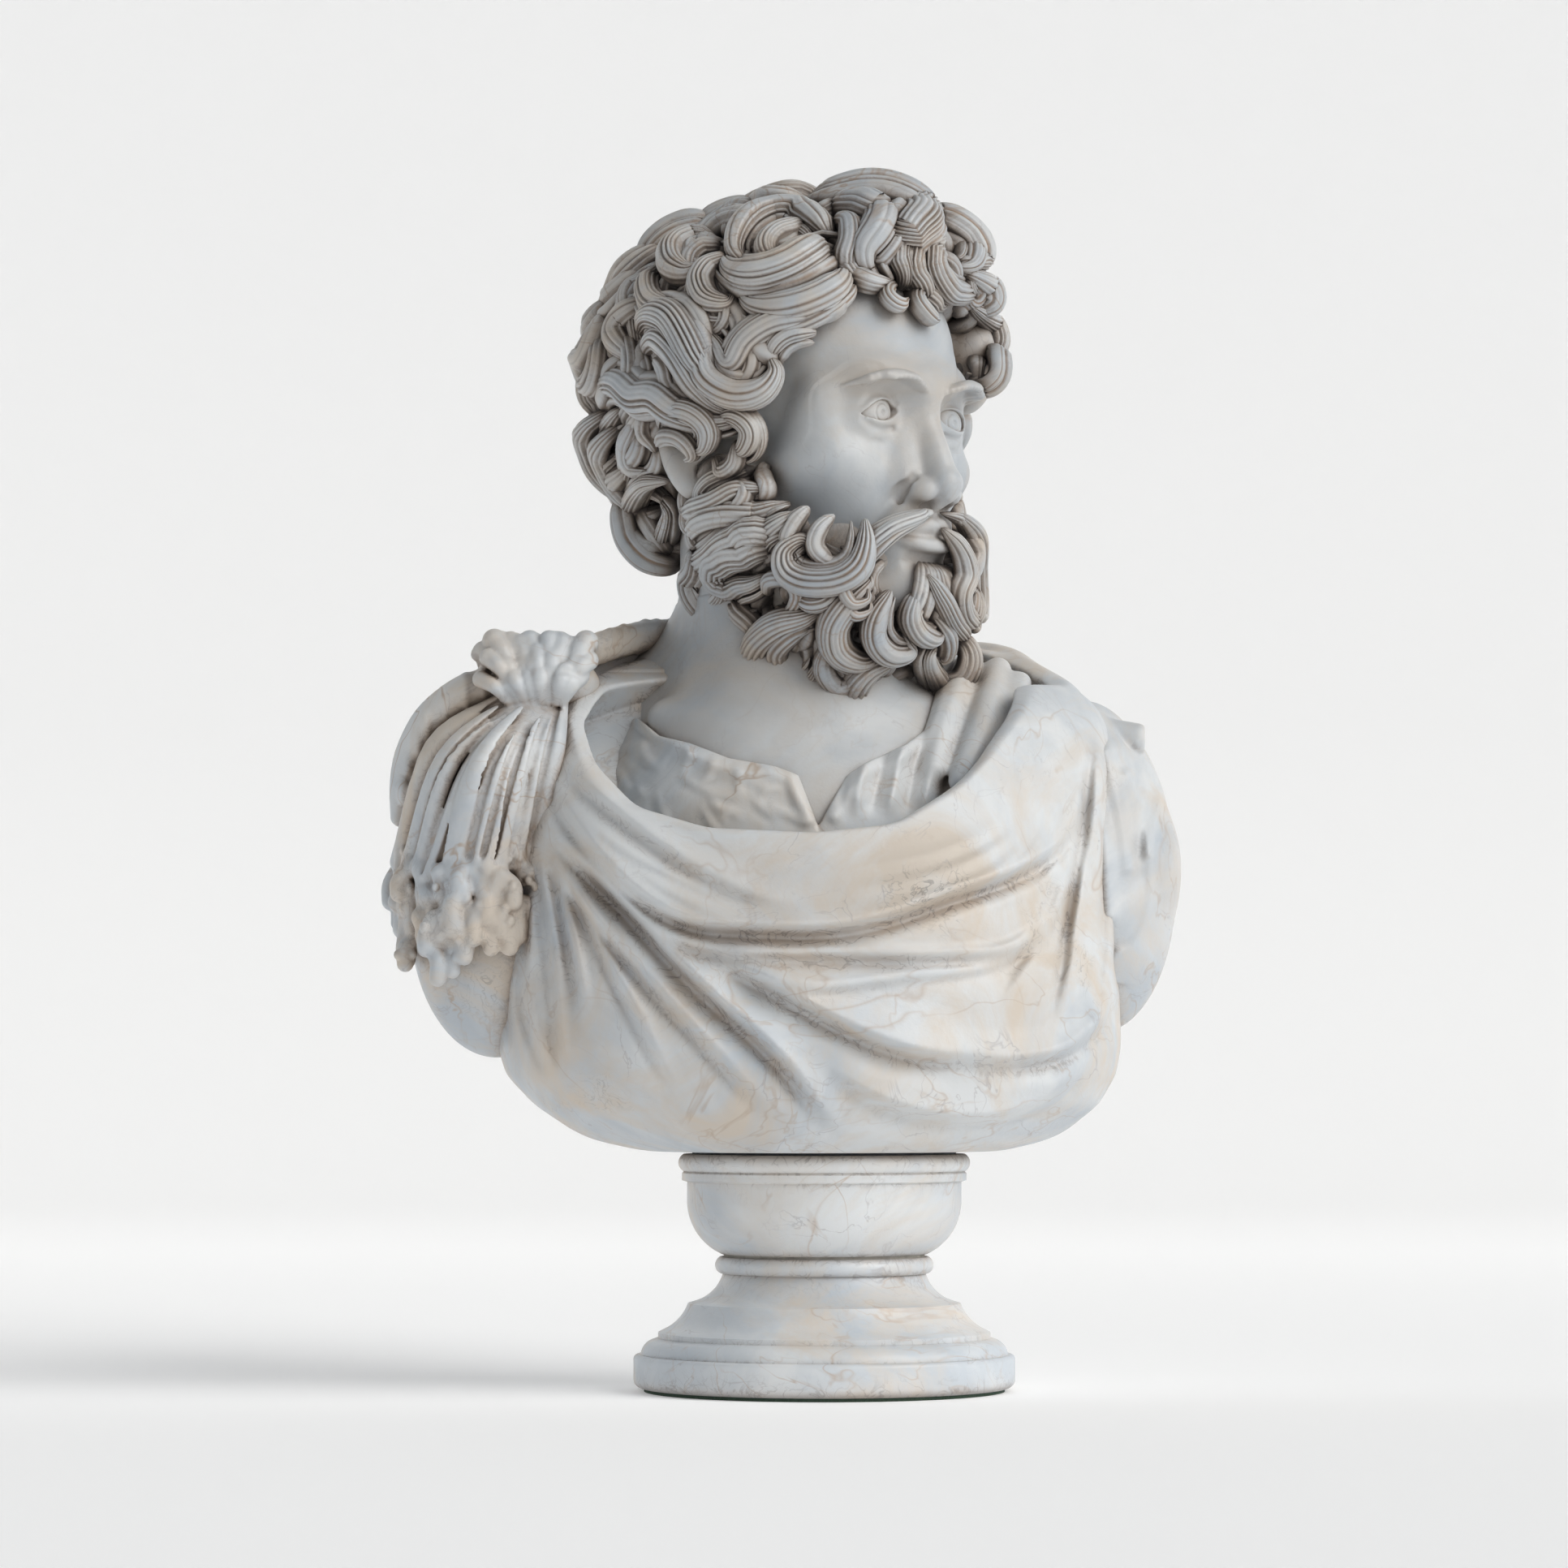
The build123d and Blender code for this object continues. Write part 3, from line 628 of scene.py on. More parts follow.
pleats.ridge(hem, 2.6, 4, 0.05)
pleats.ridge([(70, 410), (60, 376), (46, 360), (26, 350), (14, 340), (2, 318)], 2.6, 4, 0.05)
shirt = shirt - pleats.out[:, None, :] * (1 - smoothstep(-10, 30, ty))
# The opening at the throat: how far it reaches to each side at each height.
v_left = np.interp(
    tz, (314, 318, 347, 352, 357, 366, 371, 386, 440), (-2, -4, -15, -28, -54, -75, -93, -109, -112)
)
v_right = np.interp(tz, (314, 318, 347, 356, 365, 374, 386, 400, 440), (-3, -4, 12, 26, 45, 56, 60, 64, 66))
v_gap = np.maximum(np.maximum(v_left - tx, tx - v_right) * 0.55, ty - 20)
tunic_top = np.interp(tx, (-152, -128, -108, -84, -60, 60), (366, 376, 384, 396, 430, 440))
tunic.add(where, np.maximum(shirt, (tz - tunic_top) * 0.8), 0)
for top, middle, low, r in (
    ((100, 0, 412), (92, -42, 384), (76, -78, 344), 8),
    ((84, 10, 420), (74, -34, 392), (62, -70, 352), 7),
    ((112, -10, 404), (106, -50, 372), (92, -80, 338), 7),
):
    tunic.stroke([top, middle, low], [r, r + 1, r - 1], 8)
tunic.cut(where, v_gap, 2.0)
tunic_piece = tunic.mesh("tunic", tunic_marble)
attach(tunic_piece, "root")

# --- right shoulder: knot, gathered cloth, fringe and the arm's stump ---------------------------
drape_step = 1.2
drape = Clay((-262, -104, 186), (-76, 84, 452), drape_step)
drape.blob((-188, 4, 272), (50, 58, 82))
drape.blob((-196, -2, 326), (42, 48, 84), 14)
drape.blob((-196, 30, 352), (42, 44, 46), 14)
KNOT = np.array([-158.0, -40.0, 406.0])
drape.blob(KNOT + (0, 10, -4), (30, 24, 18), 6)

# A rolled, ribbed border over the shoulder's outer edge.
border = spline([(-182, -42, 404), (-204, -38, 396), (-224, -28, 381), (-238, -16, 358), (-243, -4, 328)], 6)
drape.stroke(border[::3], [10, 10, 11, 11, 11, 10, 9, 8, 6], 3, per_span=3)
spread = np.random.default_rng(11)
for at in border[:23:3]:
    centre = at + spread.normal(0, 0.8, 3) + (0, -1, 1)
    drape.blob(centre, (5.2, 11.5, 11.5) * spread.uniform(0.9, 1.1, 3), 1.6)

# Gathered cloth: ridges that run from the knot and open out like a fan.
FAN = 13
gathers = []
for step in range(FAN):
    t = step / (FAN - 1)
    swing = math.radians(-186 + 132 * t)
    sag = 14 * math.sin(math.pi * t)
    low = np.array([-192 + 46 * math.cos(swing), -2 + 66 * math.sin(swing), 306 - sag])
    top = KNOT + (-22 + 32 * t, -14 - 6 * math.sin(math.pi * t), -12 - 4 * t)
    middle = 0.5 * (top + low) + (-12 + 14 * t, -15 - 9 * math.sin(math.pi * t), 12)
    middle += spread.normal(0, 1.8, 3)
    low += spread.normal(0, 2.2, 3)
    full = 5.8 + 1.6 * (step % 3 == 0) + spread.uniform(-1.3, 1.5)
    drape.stroke([top, middle, low], [3.4, full * 0.9, full * 1.05], 3.0)
    gathers.append(np.array([top, middle, low]))
for one, other in zip(gathers[:-1], gathers[1:]):
    # The creases between the ridges, cut deeper.
    crease = (one + other) / 2
    crease[:, 1] -= (1.8, 4.2, 5.4)
    drape.stroke(crease, np.array([1.2, 1.6, 1.8]) * spread.uniform(0.75, 1.1), 3.6, cut=True, per_span=10)

# Fringe: rows of knotted tassels round the lower edge of the gathered cloth.
for row, (count, sink, size) in enumerate(((14, -4, 6.6), (15, 9, 7.2), (16, 22, 7.0), (15, 34, 6.4))):
    for step in range(count):
        t = (step + 0.5 * (row % 2) + spread.uniform(-0.2, 0.2)) / count
        swing = math.radians(-190 + 142 * t)
        sag = 17 * math.sin(math.pi * t)
        at = np.array([-192 + 47 * math.cos(swing), -2 + 68 * math.sin(swing), 308 - sag - sink])
        at += spread.normal(0, 2.2, 3)
        bend = spread.normal(0, 3.4, 3)
        tip = at + (bend[0], bend[1] * 0.5, -spread.uniform(12, 21))
        size_here = size * spread.uniform(0.8, 1.15)
        middle = (at + tip) / 2 + bend * 0.5
        drape.stroke([at, middle, tip], size_here * np.array([0.9, 0.75, 0.8]), 2.4, per_span=4)
        for _ in range(2):
            lump = at + (tip - at) * spread.uniform(0, 1) + spread.normal(0, 2.4, 3) - (0, 2.5, 0)
            drape.blob(lump, size_here * np.array([0.42, 0.42, 0.5]), 0.8)

# Knot: tiers of ruffled cloth round a hollow.
for tier, (count, low, high, out) in enumerate(((10, -4, 15, 0), (9, -8, 7, -6), (8, -16, -3, -8))):
    for step in range(count):
        t = (step + 0.5 * (tier % 2)) / count
        across = -35 + 64 * t + spread.normal(0, 1.2)
        tip = KNOT + (
            across, -9 + out + spread.normal(0, 2.6), high + 5 * math.sin(math.pi * t) + spread.normal(0, 2.0)
        )
        root = KNOT + (0.55 * across, -12 + out, low)
        size = spread.uniform(4.6, 7.0)
        drape.stroke([root, (root + tip) / 2 + (0, -5, 2), tip], [3.0, 0.85 * size, size], 0.9, per_span=4)
        if tier == 0:
            behind = tip + (spread.normal(0, 3), 13, 0)
            drape.stroke([tip, behind, tip + (0, 28, -8)], [size, 5.4, 4.6], 1.2, per_span=3)
        drape.blob(tip + (spread.normal(0, 2), -3, -1), (size * 0.55, size * 0.5, size * 0.6), 0.8)
slit = KNOT + [(-12, -31, 0), (2, -33, 4), (16, -30, 1), (24, -24, -4)]
drape.stroke(slit, [1.5, 4.2, 3.4, 1.2], 1.5, cut=True)

# A strap of ribbed cloth from the knot to the back of the neck.
strap = spline([(-140, -30, 419), (-122, -8, 427), (-102, 16, 434), (-88, 30, 437)], 6)
drape.stroke(strap[::3], [9, 9, 9, 9, 9, 8, 8], 3, per_span=3)
for at in strap[::2]:
    drape.blob(at + spread.normal(0, 0.8, 3), (5, 8, 9.5), 1.4)
DRAPE_BACK, ARM_BACK = 56, 60  # where the shoulders end behind
where, px, py, pz = drape.whole()
drape.cut(where, DRAPE_BACK - py, 4.0)
drape_piece = drape.mesh("shoulder_drape", drape_marble)
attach(drape_piece, "root")

# --- left shoulder: the arm under its sheet, and the stub of a brooch ---------------------------
left = Clay((96, -84, 186), (216, 90, 414), drape_step)
where, lx, ly, lz = left.whole()
left.blob((158, 14, 288), (45, 54, 84))
left.blob((150, 22, 330), (42, 46, 66), 18)
left.blob((190, 8, 300), (13, 34, 26), 12)
# The cloth over it ends in a loose corner.
sheet = Relief(left.axis[0], left.axis[2])
corner = [(206, 396), (190, 346), (182, 310), (181, 280), (173, 258), (160, 248), (150, 214)]
sheet.fold(corner, 0.5, 4, 8, 90, 0.02)
sheet.ridge([(158, 372), (168, 330), (174, 290)], 5, 7, 0.1)
sheet.ridge([(150, 352), (158, 310), (162, 262)], 5, 6, 0.1)
sheet.ridge([(170, 356), (180, 326), (184, 300)], 3, 4, 0.1)
cloth = np.sqrt(((lx - 152) / 47) ** 2 + ((ly - 14) / 64) ** 2 + ((lz - 300) / 98) ** 2)
cloth = (cloth - 1) * 50 - sheet.out[:, None, :]
left.add(where, np.maximum(cloth, 232 - lz), 3)
left.stroke([(148, 2, 376), (164, 0, 375), (179, -2, 373)], [9, 9.5, 9], 2)
left.blob((192, -4, 372), (8, 16, 16), 1.5, cut=True)
left.stroke([(172, 10, 376), (176, 14, 362), (186, 18, 346)], [5, 5, 4], 5)
left.cut(where, ARM_BACK - ly, 4.0)
left_piece = left.mesh("left_arm", tunic_marble)
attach(left_piece, "root")


# --- skin: face, ears, neck and the chest in the neckline --------------------------------------
skin_step = 0.85
skin = Clay((-118, -116, 300), (98, 98, 676), skin_step)


def blob(at, radii, soft=0.0, cut=False, tilt=0.0, lean=0.0):
    """An ellipsoid in the head's own frame; tilt turns it about ahead, and lean about up."""
    ct, st, cl, sl = math.cos(tilt), math.sin(tilt), math.cos(lean), math.sin(lean)
    turn = np.array([[ct, 0, st], [0, 1, 0], [-st, 0, ct]]) @ np.array([[cl, sl, 0], [-sl, cl, 0], [0, 0, 1]])
    skin.blob(head_to_row(at), radii, soft, turn @ HEAD_AXES, cut)


def stroke(points, radii, soft=0.0, cut=False, per_span=6):
    skin.stroke(head_to_row(points), radii, soft, cut, per_span)


# Neck, chest and shoulders.
where, sx, sy, sz = skin.window((-118, -116, 300), (98, 98, 452))
chest = lofted(CHEST_SECTIONS, CHEST_MID, sx, sy, sz)
top = (sz - 424) * 0.9
blend = np.maximum(26 - np.abs(chest - top), 0) / 26
chest = np.maximum(chest, top) + blend * blend * 26 / 4
skin.add(where, chest, 0)
skin.stroke([(-20, 10, 380), (-23, 13, 440), (-25, 15, 490), (-20, 12, 530)], [60, 59, 58, 58], 34)
skin.stroke([(-44, 34, 446), (-74, 26, 418), (-104, 20, 398)], [24, 24, 22], 24)
skin.stroke([(26, 40, 446), (46, 36, 420), (74, 26, 398)], [24, 24, 22], 24)
skin.stroke([(-62, -18, 508), (-52, -30, 458), (-37, -40, 410), (-13, -56, 366)], [14, 12, 9, 4], 24)
skin.stroke([(24, 38, 500), (28, 0, 450), (18, -36, 405), (1, -54, 368)], [12, 11, 8, 4], 24)
skin.stroke([(-14, -62, 364), (-50, -60, 368), (-92, -36, 384)], [7, 8, 7], 14)

# Keep the chest inside the sawn back.
where, sx, sy, sz = skin.window((-118, -116, 300), (98, 98, 452))
skin.cut(where, BACK_Y - 4 - sy, 3.0)

# Skull and the planes of the face.
blob((0, -14, 42), (74, 96, 78))
blob((0, 36, 34), (61, 55, 56), 24)
blob((0, 36, -38), (57, 55, 70), 26)
for side in (-1, 1):
    jaw = [(side * 60, 2, -46), (side * 54, 30, -80), (side * 34, 60, -100), (0, 76, -104)]
    stroke(jaw, [15, 16, 17, 18], 18)
    blob((side * 45, 58, -27), (21, 23, 16), 24)
    # Temple, a little hollow.
    blob((side * 89, 42, 18), (18, 26, 22), 24, cut=True)
    # Brow.
    brow = [(side * 5, 90, 13), (side * 20, 90, 18), (side * 38, 82, 19), (side * 53, 64, 9)]
    stroke(brow, [8, 8, 7, 5], 19)
    # Outer rim of the eye socket.
    blob((side * 49, 58, -2), (12, 16, 17), 12)
    # Eye socket, eyeball and lids.
    blob((side * 32, 101, -1), (21, 16, 14), 11, cut=True)
    blob((side * 14.5, 99, -2), (7, 11, 9), 9, cut=True)
blob((0, 84, -99), (20, 16, 15), 12)
blob((0, 76, -64), (32, 24, 24), 14)

# Nose.
stroke([(0, 88, 12), (0, 95, -6), (0, 103, -26), (0, 107, -38)], [8.0, 7.0, 7.6, 8.4], 7)
blob((0, 109, -41), (9.5, 9, 8.5), 4)
for side in (-1, 1):
    stroke([(side * 8, 82, 2), (side * 11, 87, -22), (side * 13, 90, -40)], [6, 7, 7.5], 14)
    blob((side * 12.5, 99, -45), (7, 10.5, 7), 4, lean=side * 0.35)
    blob((side * 7.4, 102, -53.5), (3.2, 6.0, 3.2), 1.6, cut=True, lean=side * 0.3)
    stroke([(side * 16, 98, -38), (side * 20, 92, -46), (side * 18, 90, -52)], [1.6, 1.6, 1.2], 4, cut=True)
stroke([(0, 110, -47), (0, 100, -51)], [4.6, 4.8], 3)

# Mouth: lips closed and at rest.
for side in (-1, 1):
    upper = [(side * 27, 86, -69), (side * 15, 95, -66), (side * 5, 99, -63.5), (0, 98.6, -64.6)]
    lower = [(side * 26, 87, -70.5), (side * 14, 95.5, -74), (side * 5, 98.6, -75.6), (0, 98.6, -75.6)]
    seam = [(side * 29, 88, -70), (side * 15, 99.5, -69), (side * 5, 103, -69.2), (0, 103, -69.8)]
    stroke(upper, [1.2, 3.4, 4.2, 3.8], 2.6)
    stroke(lower, [1.2, 4.0, 4.8, 4.8], 2.6)
    stroke(seam, [1.0, 1.3, 1.4, 1.4], 1.6, cut=True)
    stroke([(side * 20, 93, -44), (side * 30, 86, -58), (side * 34, 80, -72)], [1.8, 2.2, 1.6], 7, cut=True)
stroke([(-14, 96, -84), (0, 99, -85), (14, 96, -84)], [3.0, 4.4, 3.0], 6, cut=True)


EYE_R = 15.5
EYE_AT = (31, 73.6, -1.5)


def eye(side):
    """Lids over an eyeball: a blended swelling, opened by an almond-shaped cut."""
    centre = head_to_row((side * EYE_AT[0], EYE_AT[1], EYE_AT[2]))
    shell, reach = EYE_R + 2.3, 28
    where, x, y, z = skin.window(centre - reach, centre + reach)
    dx, dy, dz = x - centre[0], y - centre[1], z - centre[2]
    across = (ACROSS[0] * dx + ACROSS[1] * dy) * side
    ahead = AHEAD[0] * dx + AHEAD[1] * dy
    far = np.sqrt(dx * dx + dy * dy + dz * dz)
    lids = np.maximum(far - shell, np.maximum(np.abs(dz) - 13, np.abs(across) - 18))
    skin.add(where, lids, 6.0)
    share = np.clip((across - 1.2) / 13.4, -1, 1)
    top = 7.2 * (1 - np.abs(share + 0.12) ** 2.2) - 1.0 * share
    low = -4.6 * (1 - np.abs(share) ** 2.0) - 1.0 * share
    gap = np.maximum(np.maximum(dz - top, low - dz), np.maximum(3 - ahead, np.abs(across - 1.2) - 13.4))
    skin.cut(where, np.maximum(gap, far - shell - 3.5), 0.9)


def eyeball(side):
    """The ball's front, with a shallow ring and a hollow carved for iris and pupil."""
    rings, spokes = 48, 72
    polar = np.linspace(0.004, 1.45, rings)
    swing = np.linspace(0, 2 * math.pi, spokes, endpoint=False)
    arc = polar * EYE_R
    carve = 0.55 * np.exp(-(((arc - 5.6) / 0.55) ** 2)) + 0.9 * smoothstep(2.1, 1.1, arc)
    carve = np.where(arc < 5.6, carve + 0.12, carve)
    radius = (EYE_R - carve)[:, None]
    u = side * EYE_AT[0] + radius * np.sin(polar)[:, None] * np.cos(swing)
    w = EYE_AT[2] + radius * np.sin(polar)[:, None] * np.sin(swing)
    f = EYE_AT[1] + radius * np.cos(polar)[:, None] * np.ones(spokes)
    verts = head_to_row(np.stack([u, f, w], -1).reshape(-1, 3)) * MM
    i, j = np.meshgrid(np.arange(rings - 1), np.arange(spokes), indexing="ij")
    k = (j + 1) % spokes
    sheet = np.stack([i * spokes + j, (i + 1) * spokes + j, (i + 1) * spokes + k, i * spokes + k], -1)
    half = np.arange(spokes // 2 - 1)
    cap = np.stack([half, half + 1, spokes - 2 - half, spokes - 1 - half], -1)
    base = (rings - 1) * spokes + cap[:, ::-1]
    return verts, np.vstack([sheet.reshape(-1, 4), cap, base])


def ahead_on_skin(u, w, start=125.0):
    """How far ahead the skin is at u and w, found by walking in from the front."""
    steps = np.arange(start, 30, -0.5)
    at = head_to_row(np.column_stack([np.full(len(steps), u), steps, np.full(len(steps), w)]))
    index = np.round((at - skin.low) / skin.step).astype(int)
    index = np.clip(index, 0, skin.size - 1)
    hit = skin.field[index[:, 0], index[:, 1], index[:, 2]] < 0
    return steps[np.argmax(hit)] if hit.any() else 30.0


for side in (-1, 1):
    eye(side)
    ball = np.array(EYE_AT) * (side, 1, 1)
    crease = [(ball[0] + side * u, ball[1] + math.sqrt((EYE_R + 3.6)**2 - u * u - w * w), ball[2] + w)
              for u, w in ((-11, 6.0), (-6, 9.6), (1, 11.0), (9, 9.2), (15, 3.2))]
    stroke(crease, [0.7, 1.3, 1.5, 1.3, 0.8], 2.6, cut=True)
    pouch = [(ball[0] + side * u, ball[1] + math.sqrt((EYE_R + 2.8)**2 - u * u - w * w), ball[2] + w)
             for u, w in ((-9, -7.8), (-2, -9.8), (7, -9.0), (13, -5.0))]
    stroke(pouch, [0.5, 0.9, 0.9, 0.5], 3.5, cut=True)
    # Brow hairs, as short tufts that lie along the ridge.
    for step in range(13):
        t = step / 12
        u, w = 8 + 36 * t, 13.5 + 7.5 * math.sin(2.1 * t) - 5.0 * t * t
        tuft = []
        for along, rise in ((0, -1.2), (4.5, 0.6), (9, 1.0 - 3.6 * t)):
            tuft.append((side * (u + along), ahead_on_skin(side * (u + along), w + rise) + 0.2, w + rise))
        stroke(tuft, [1.4, 2.5, 0.8], 1.8, per_span=3)

for side in (-1, 1):
    blob((side * 17.4, 83.5, -1.6), (3.6, 3.2, 3.0), 2)
balls = [eyeball(side) for side in (-1, 1)]
shift = len(balls[0][0])
eye_verts = np.vstack([verts for verts, _ in balls])
eyes_piece = add_mesh("eyes", eye_verts, np.vstack([balls[0][1], balls[1][1] + shift]), skin_marble)
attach(eyes_piece, "root")

# Ears.
for side in (-1, 1):
    def ear(points):
        """Ear points given as (ahead, up), on a plane that stands away from the skull."""
        return [(side * (74.5 - 0.32 * (f + 4)), f - 6, w - 4) for f, w in points]

    blob((side * 77, -16, -2), (5, 17, 25), 6, lean=side * 0.3)
    stroke(ear([(-3, -4), (4, 8), (1, 20), (-10, 27), (-22, 22), (-28, 8), (-25, -8), (-16, -22)]), 3.6, 2.5)
    stroke(ear([(-24, -6), (-18, -22), (-10, -35), (-4, -34)]), [6.5, 8.5, 7.5, 5], 5)
    stroke(ear([(-8, 16), (-17, 14), (-20, 3), (-17, -8), (-11, -15)]), [2.4, 2.8, 2.8, 2.6, 2.4], 3)
    blob((side * 82, -14, -6), (6, 8, 12), 4, cut=True, lean=side * 0.3)
    blob((side * 79, -1, -10), (4, 3.6, 5.5), 3)

skin_piece = skin.mesh("head_skin", skin_marble)
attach(skin_piece, "root")
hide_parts("head")


# --- hair and beard -----------------------------------------------------------------------------
class Locks:
    """Collects grooved locks into one mesh, and remembers how deep in a groove each point is."""

    def __init__(self):
        self.verts, self.quads, self.deep, self.count = [], [], [], 0

    def lay(self, path, out, width, thick, strands, lead=0.0):
        """One lock along a path. Out is which way is up from the head at each point."""
        n = len(path)
        along = np.gradient(path, axis=0)
        along /= np.linalg.norm(along, axis=1)[:, None] + 1e-9
        sideways = np.cross(out, along)
        sideways /= np.linalg.norm(sideways, axis=1)[:, None] + 1e-9
        out = np.cross(along, sideways)
        t = np.linspace(0, 1, n)
        share = np.linspace(0, 1, 4 * strands + 1)
        place = strands * share
        groove = 1 - np.abs(np.sin(math.pi * place))
        groove *= rng.uniform(0.1, 1.0, strands + 2)[np.round(place).astype(int)]
        groove[[0, -1]] = 0
        turn = math.pi * (1 - share - 0.035 * np.sin(2 * math.pi * share + lead))
        depth = 1 - 0.17 * groove
        under = np.linspace(0.78, -0.78, 5)
        a_all = np.concatenate([np.sign(np.cos(turn)) * np.abs(np.cos(turn)) ** 0.9 * depth, under])
        b_all = np.concatenate([np.clip(np.sin(turn), 0, 1) ** 0.9 * depth, -0.45 * np.sqrt(1 - under**2)])
        shape = np.minimum(1, (t / 0.10)) ** 0.5 * np.minimum(1, (1 - t) / 0.07) ** 0.5
        shape = np.maximum(shape, 0.02)
        ring = (
            path[:, None]
            + sideways[:, None] * (width * shape)[:, None, None] * a_all[None, :, None] / 2
            + out[:, None] * (thick * shape)[:, None, None] * b_all[None, :, None]
        )
        count = len(a_all)
        i, j = np.meshgrid(np.arange(n - 1), np.arange(count), indexing="ij")
        k = (j + 1) % count
        sides = np.stack([i * count + j, i * count + k, (i + 1) * count + k, (i + 1) * count + j], -1)
        half = np.arange(count // 2 - 1)
        cap = np.stack([half, count - 1 - half, count - 2 - half, half + 1], -1)
        last = (n - 1) * count
        self.verts.append(ring.reshape(-1, 3))
        self.deep.append(np.tile(np.concatenate([groove, np.zeros(5)]), n))
        self.quads.append(np.vstack([sides.reshape(-1, 4), cap, last + cap[:, ::-1]]) + self.count)
        self.count += ring.shape[0] * ring.shape[1]

    def mesh(self, name, material):
        verts = head_to_row(np.vstack(self.verts)) * MM
        piece = add_mesh(name, verts, np.vstack(self.quads), material)
        groove = piece.data.attributes.new("groove", "FLOAT", "POINT")
        groove.data.foreach_set("value", np.concatenate(self.deep).astype(np.float32))
        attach(piece, "root")
        print(name, len(piece.data.polygons), "faces")
        return piece


def unit(v):
    return v / np.linalg.norm(v, axis=-1, keepdims=True)


def direction(azimuth, elevation):
    """A direction in the head's frame, from degrees: 0 is ahead, and positive is to its left."""
    az, el = math.radians(azimuth), math.radians(elevation)
    return np.array([math.sin(az) * math.cos(el), math.cos(az) * math.cos(el), math.sin(el)])


def angles(d):
    return math.degrees(math.atan2(d[0], d[1])), math.degrees(math.asin(d[2]))


class Shell:
    """A rounded surface round a centre, which locks flow over."""

    def __init__(self, centre, wide, deep, high, low, flare=None):
        self.centre = np.array(centre, float)
        self.wide, self.deep, self.high, self.low = wide, deep, high, low
        self.flare = flare

    def at(self, d):
        """The point in that direction, how far it is, and the way out of the surface there."""
        tall = self.high if d[2] > 0 else self.low
        wide, r = self.wide, 1.0
        for _ in range(4 if self.flare else 1):
            r = 1 / math.sqrt((d[0] / wide) ** 2 + (d[1] / self.deep) ** 2 + (d[2] / tall) ** 2)
            if self.flare:
                span, extra = self.flare
                wide = self.wide + extra * float(smoothstep(-span, span, d[2] * r))
        out = unit(d * r / np.array([wide, self.deep, tall]) ** 2)
        return self.centre + d * r, r, out

    def flow(self, start, pole, length, steps, heading):
        """A path over the surface: heading(share) is in radians from straight away from the pole."""
        d = unit(np.asarray(start, float))
        points, outs, ways = [], [], []
        for i in range(steps):
            point, r, out = self.at(d)
            points.append(point)
            outs.append(out)
            ways.append(d)
            ahead = unit(-(pole - (pole @ d) * d))
            across = np.cross(d, ahead)
            turn = heading(i / (steps - 1))
            d = unit(d + length / steps / r * (math.cos(turn) * ahead + math.sin(turn) * across))
        return np.array(points), np.array(outs), np.array(ways)


# The marks of the tufts were drawn for a head centred here; they move with the CAD head.
MARKS_DRAWN_AT = np.array([-12.3, 553.0])
MARKS_SHIFT = HEAD[[0, 2]] - MARKS_DRAWN_AT


class Front:
    """Finds points of a group of shells by their x and z in the row's frame, as seen from the front."""

    def __init__(self, *shells):
        ways = [direction(a, e) for a in np.arange(-165, 81, 2) for e in np.arange(-87, 88, 2)]
        found = [shell.at(d) for shell in shells for d in ways]
        self.points = np.array([point for point, _, _ in found])
        self.outs = np.array([out for _, _, out in found])
        self.row = head_to_row(self.points + 8 * self.outs)
        self.cost = 60.0 * ((self.outs @ HEAD_AXES)[:, 1] > 0.10)
        for number, shell in enumerate(shells):
            away = self.points - shell.centre
            tall = np.where(away[:, 2] > 0, shell.high, shell.low)
            across, ahead = away[:, 0] / shell.wide, away[:, 1] / shell.deep
            inside = across**2 + ahead**2 + (away[:, 2] / tall) ** 2
            own = np.arange(len(found)) // len(ways) == number
            self.cost += 60.0 * ((inside < 0.95) & ~own)

    def path(self, marks, per_span=9):
        """A smooth path over the shells through marks of x and z; it stands off where they overhang."""
        points, outs = [], []
        for x, z in spline(np.add(marks, MARKS_SHIFT), per_span):
            off = np.hypot(self.row[:, 0] - x, self.row[:, 2] - z)
            nearest = np.argmin(off + self.cost)
            away = unit(np.array([x, self.row[nearest, 1], z]) - self.row[nearest] + 1e-6) @ HEAD_AXES.T
            points.append(self.points[nearest] + min(off[nearest], 30) * away)
            outs.append(self.outs[nearest])
        smooth = [smoothed(column, 9) for column in np.hstack([points, outs]).T]
        return np.array(smooth[:3]).T, unit(np.array(smooth[3:]).T)


def clump(locks, front, marks, wide, count=2, lift=5.0):
    """A tuft that waves and curls along the marks: one broad lock, and narrower ones beside it."""
    path, out = front.path(marks)
    t = np.linspace(0, 1, len(path))
    along = unit(np.gradient(path, axis=0))
    sideways = unit(np.cross(out, along))
    lanes = [(0.0, 1.12, 0.0, 3 * count + 3)]
    if count > 1:
        lanes.append((rng.choice((-0.52, 0.52)), 0.5, -2.0, 4))
    if count > 2:
        lanes.append((-0.9 * lanes[1][0], 0.42, -1.0, 3))
    for lane, share, sink, strands in lanes:
        end = len(path) - (0 if lane == 0 else int(rng.integers(1, 6)))
        begin = 0 if lane == 0 else int(rng.integers(1, 6))
        wander = lane * wide * (1 - 0.3 * smoothstep(0.6, 1, t))
        wander = wander + 1.2 * np.sin(2 * math.pi * t + rng.uniform(0, 6))
        height = lift + sink + rng.uniform(-1, 1.5)
        rise = height * (0.3 + 0.7 * np.sin(math.pi * np.clip(0.12 + 0.8 * t, 0, 1)))
        lane_path = path + sideways * wander[:, None] + out * rise[:, None]
        width = share * wide * taper(t, 0.5, 0.34)
        locks.lay(
            lane_path[begin:end], out[begin:end], width[begin:end], (0.5 * width + 3.0)[begin:end],
            strands, rng.uniform(0, 6),
        )


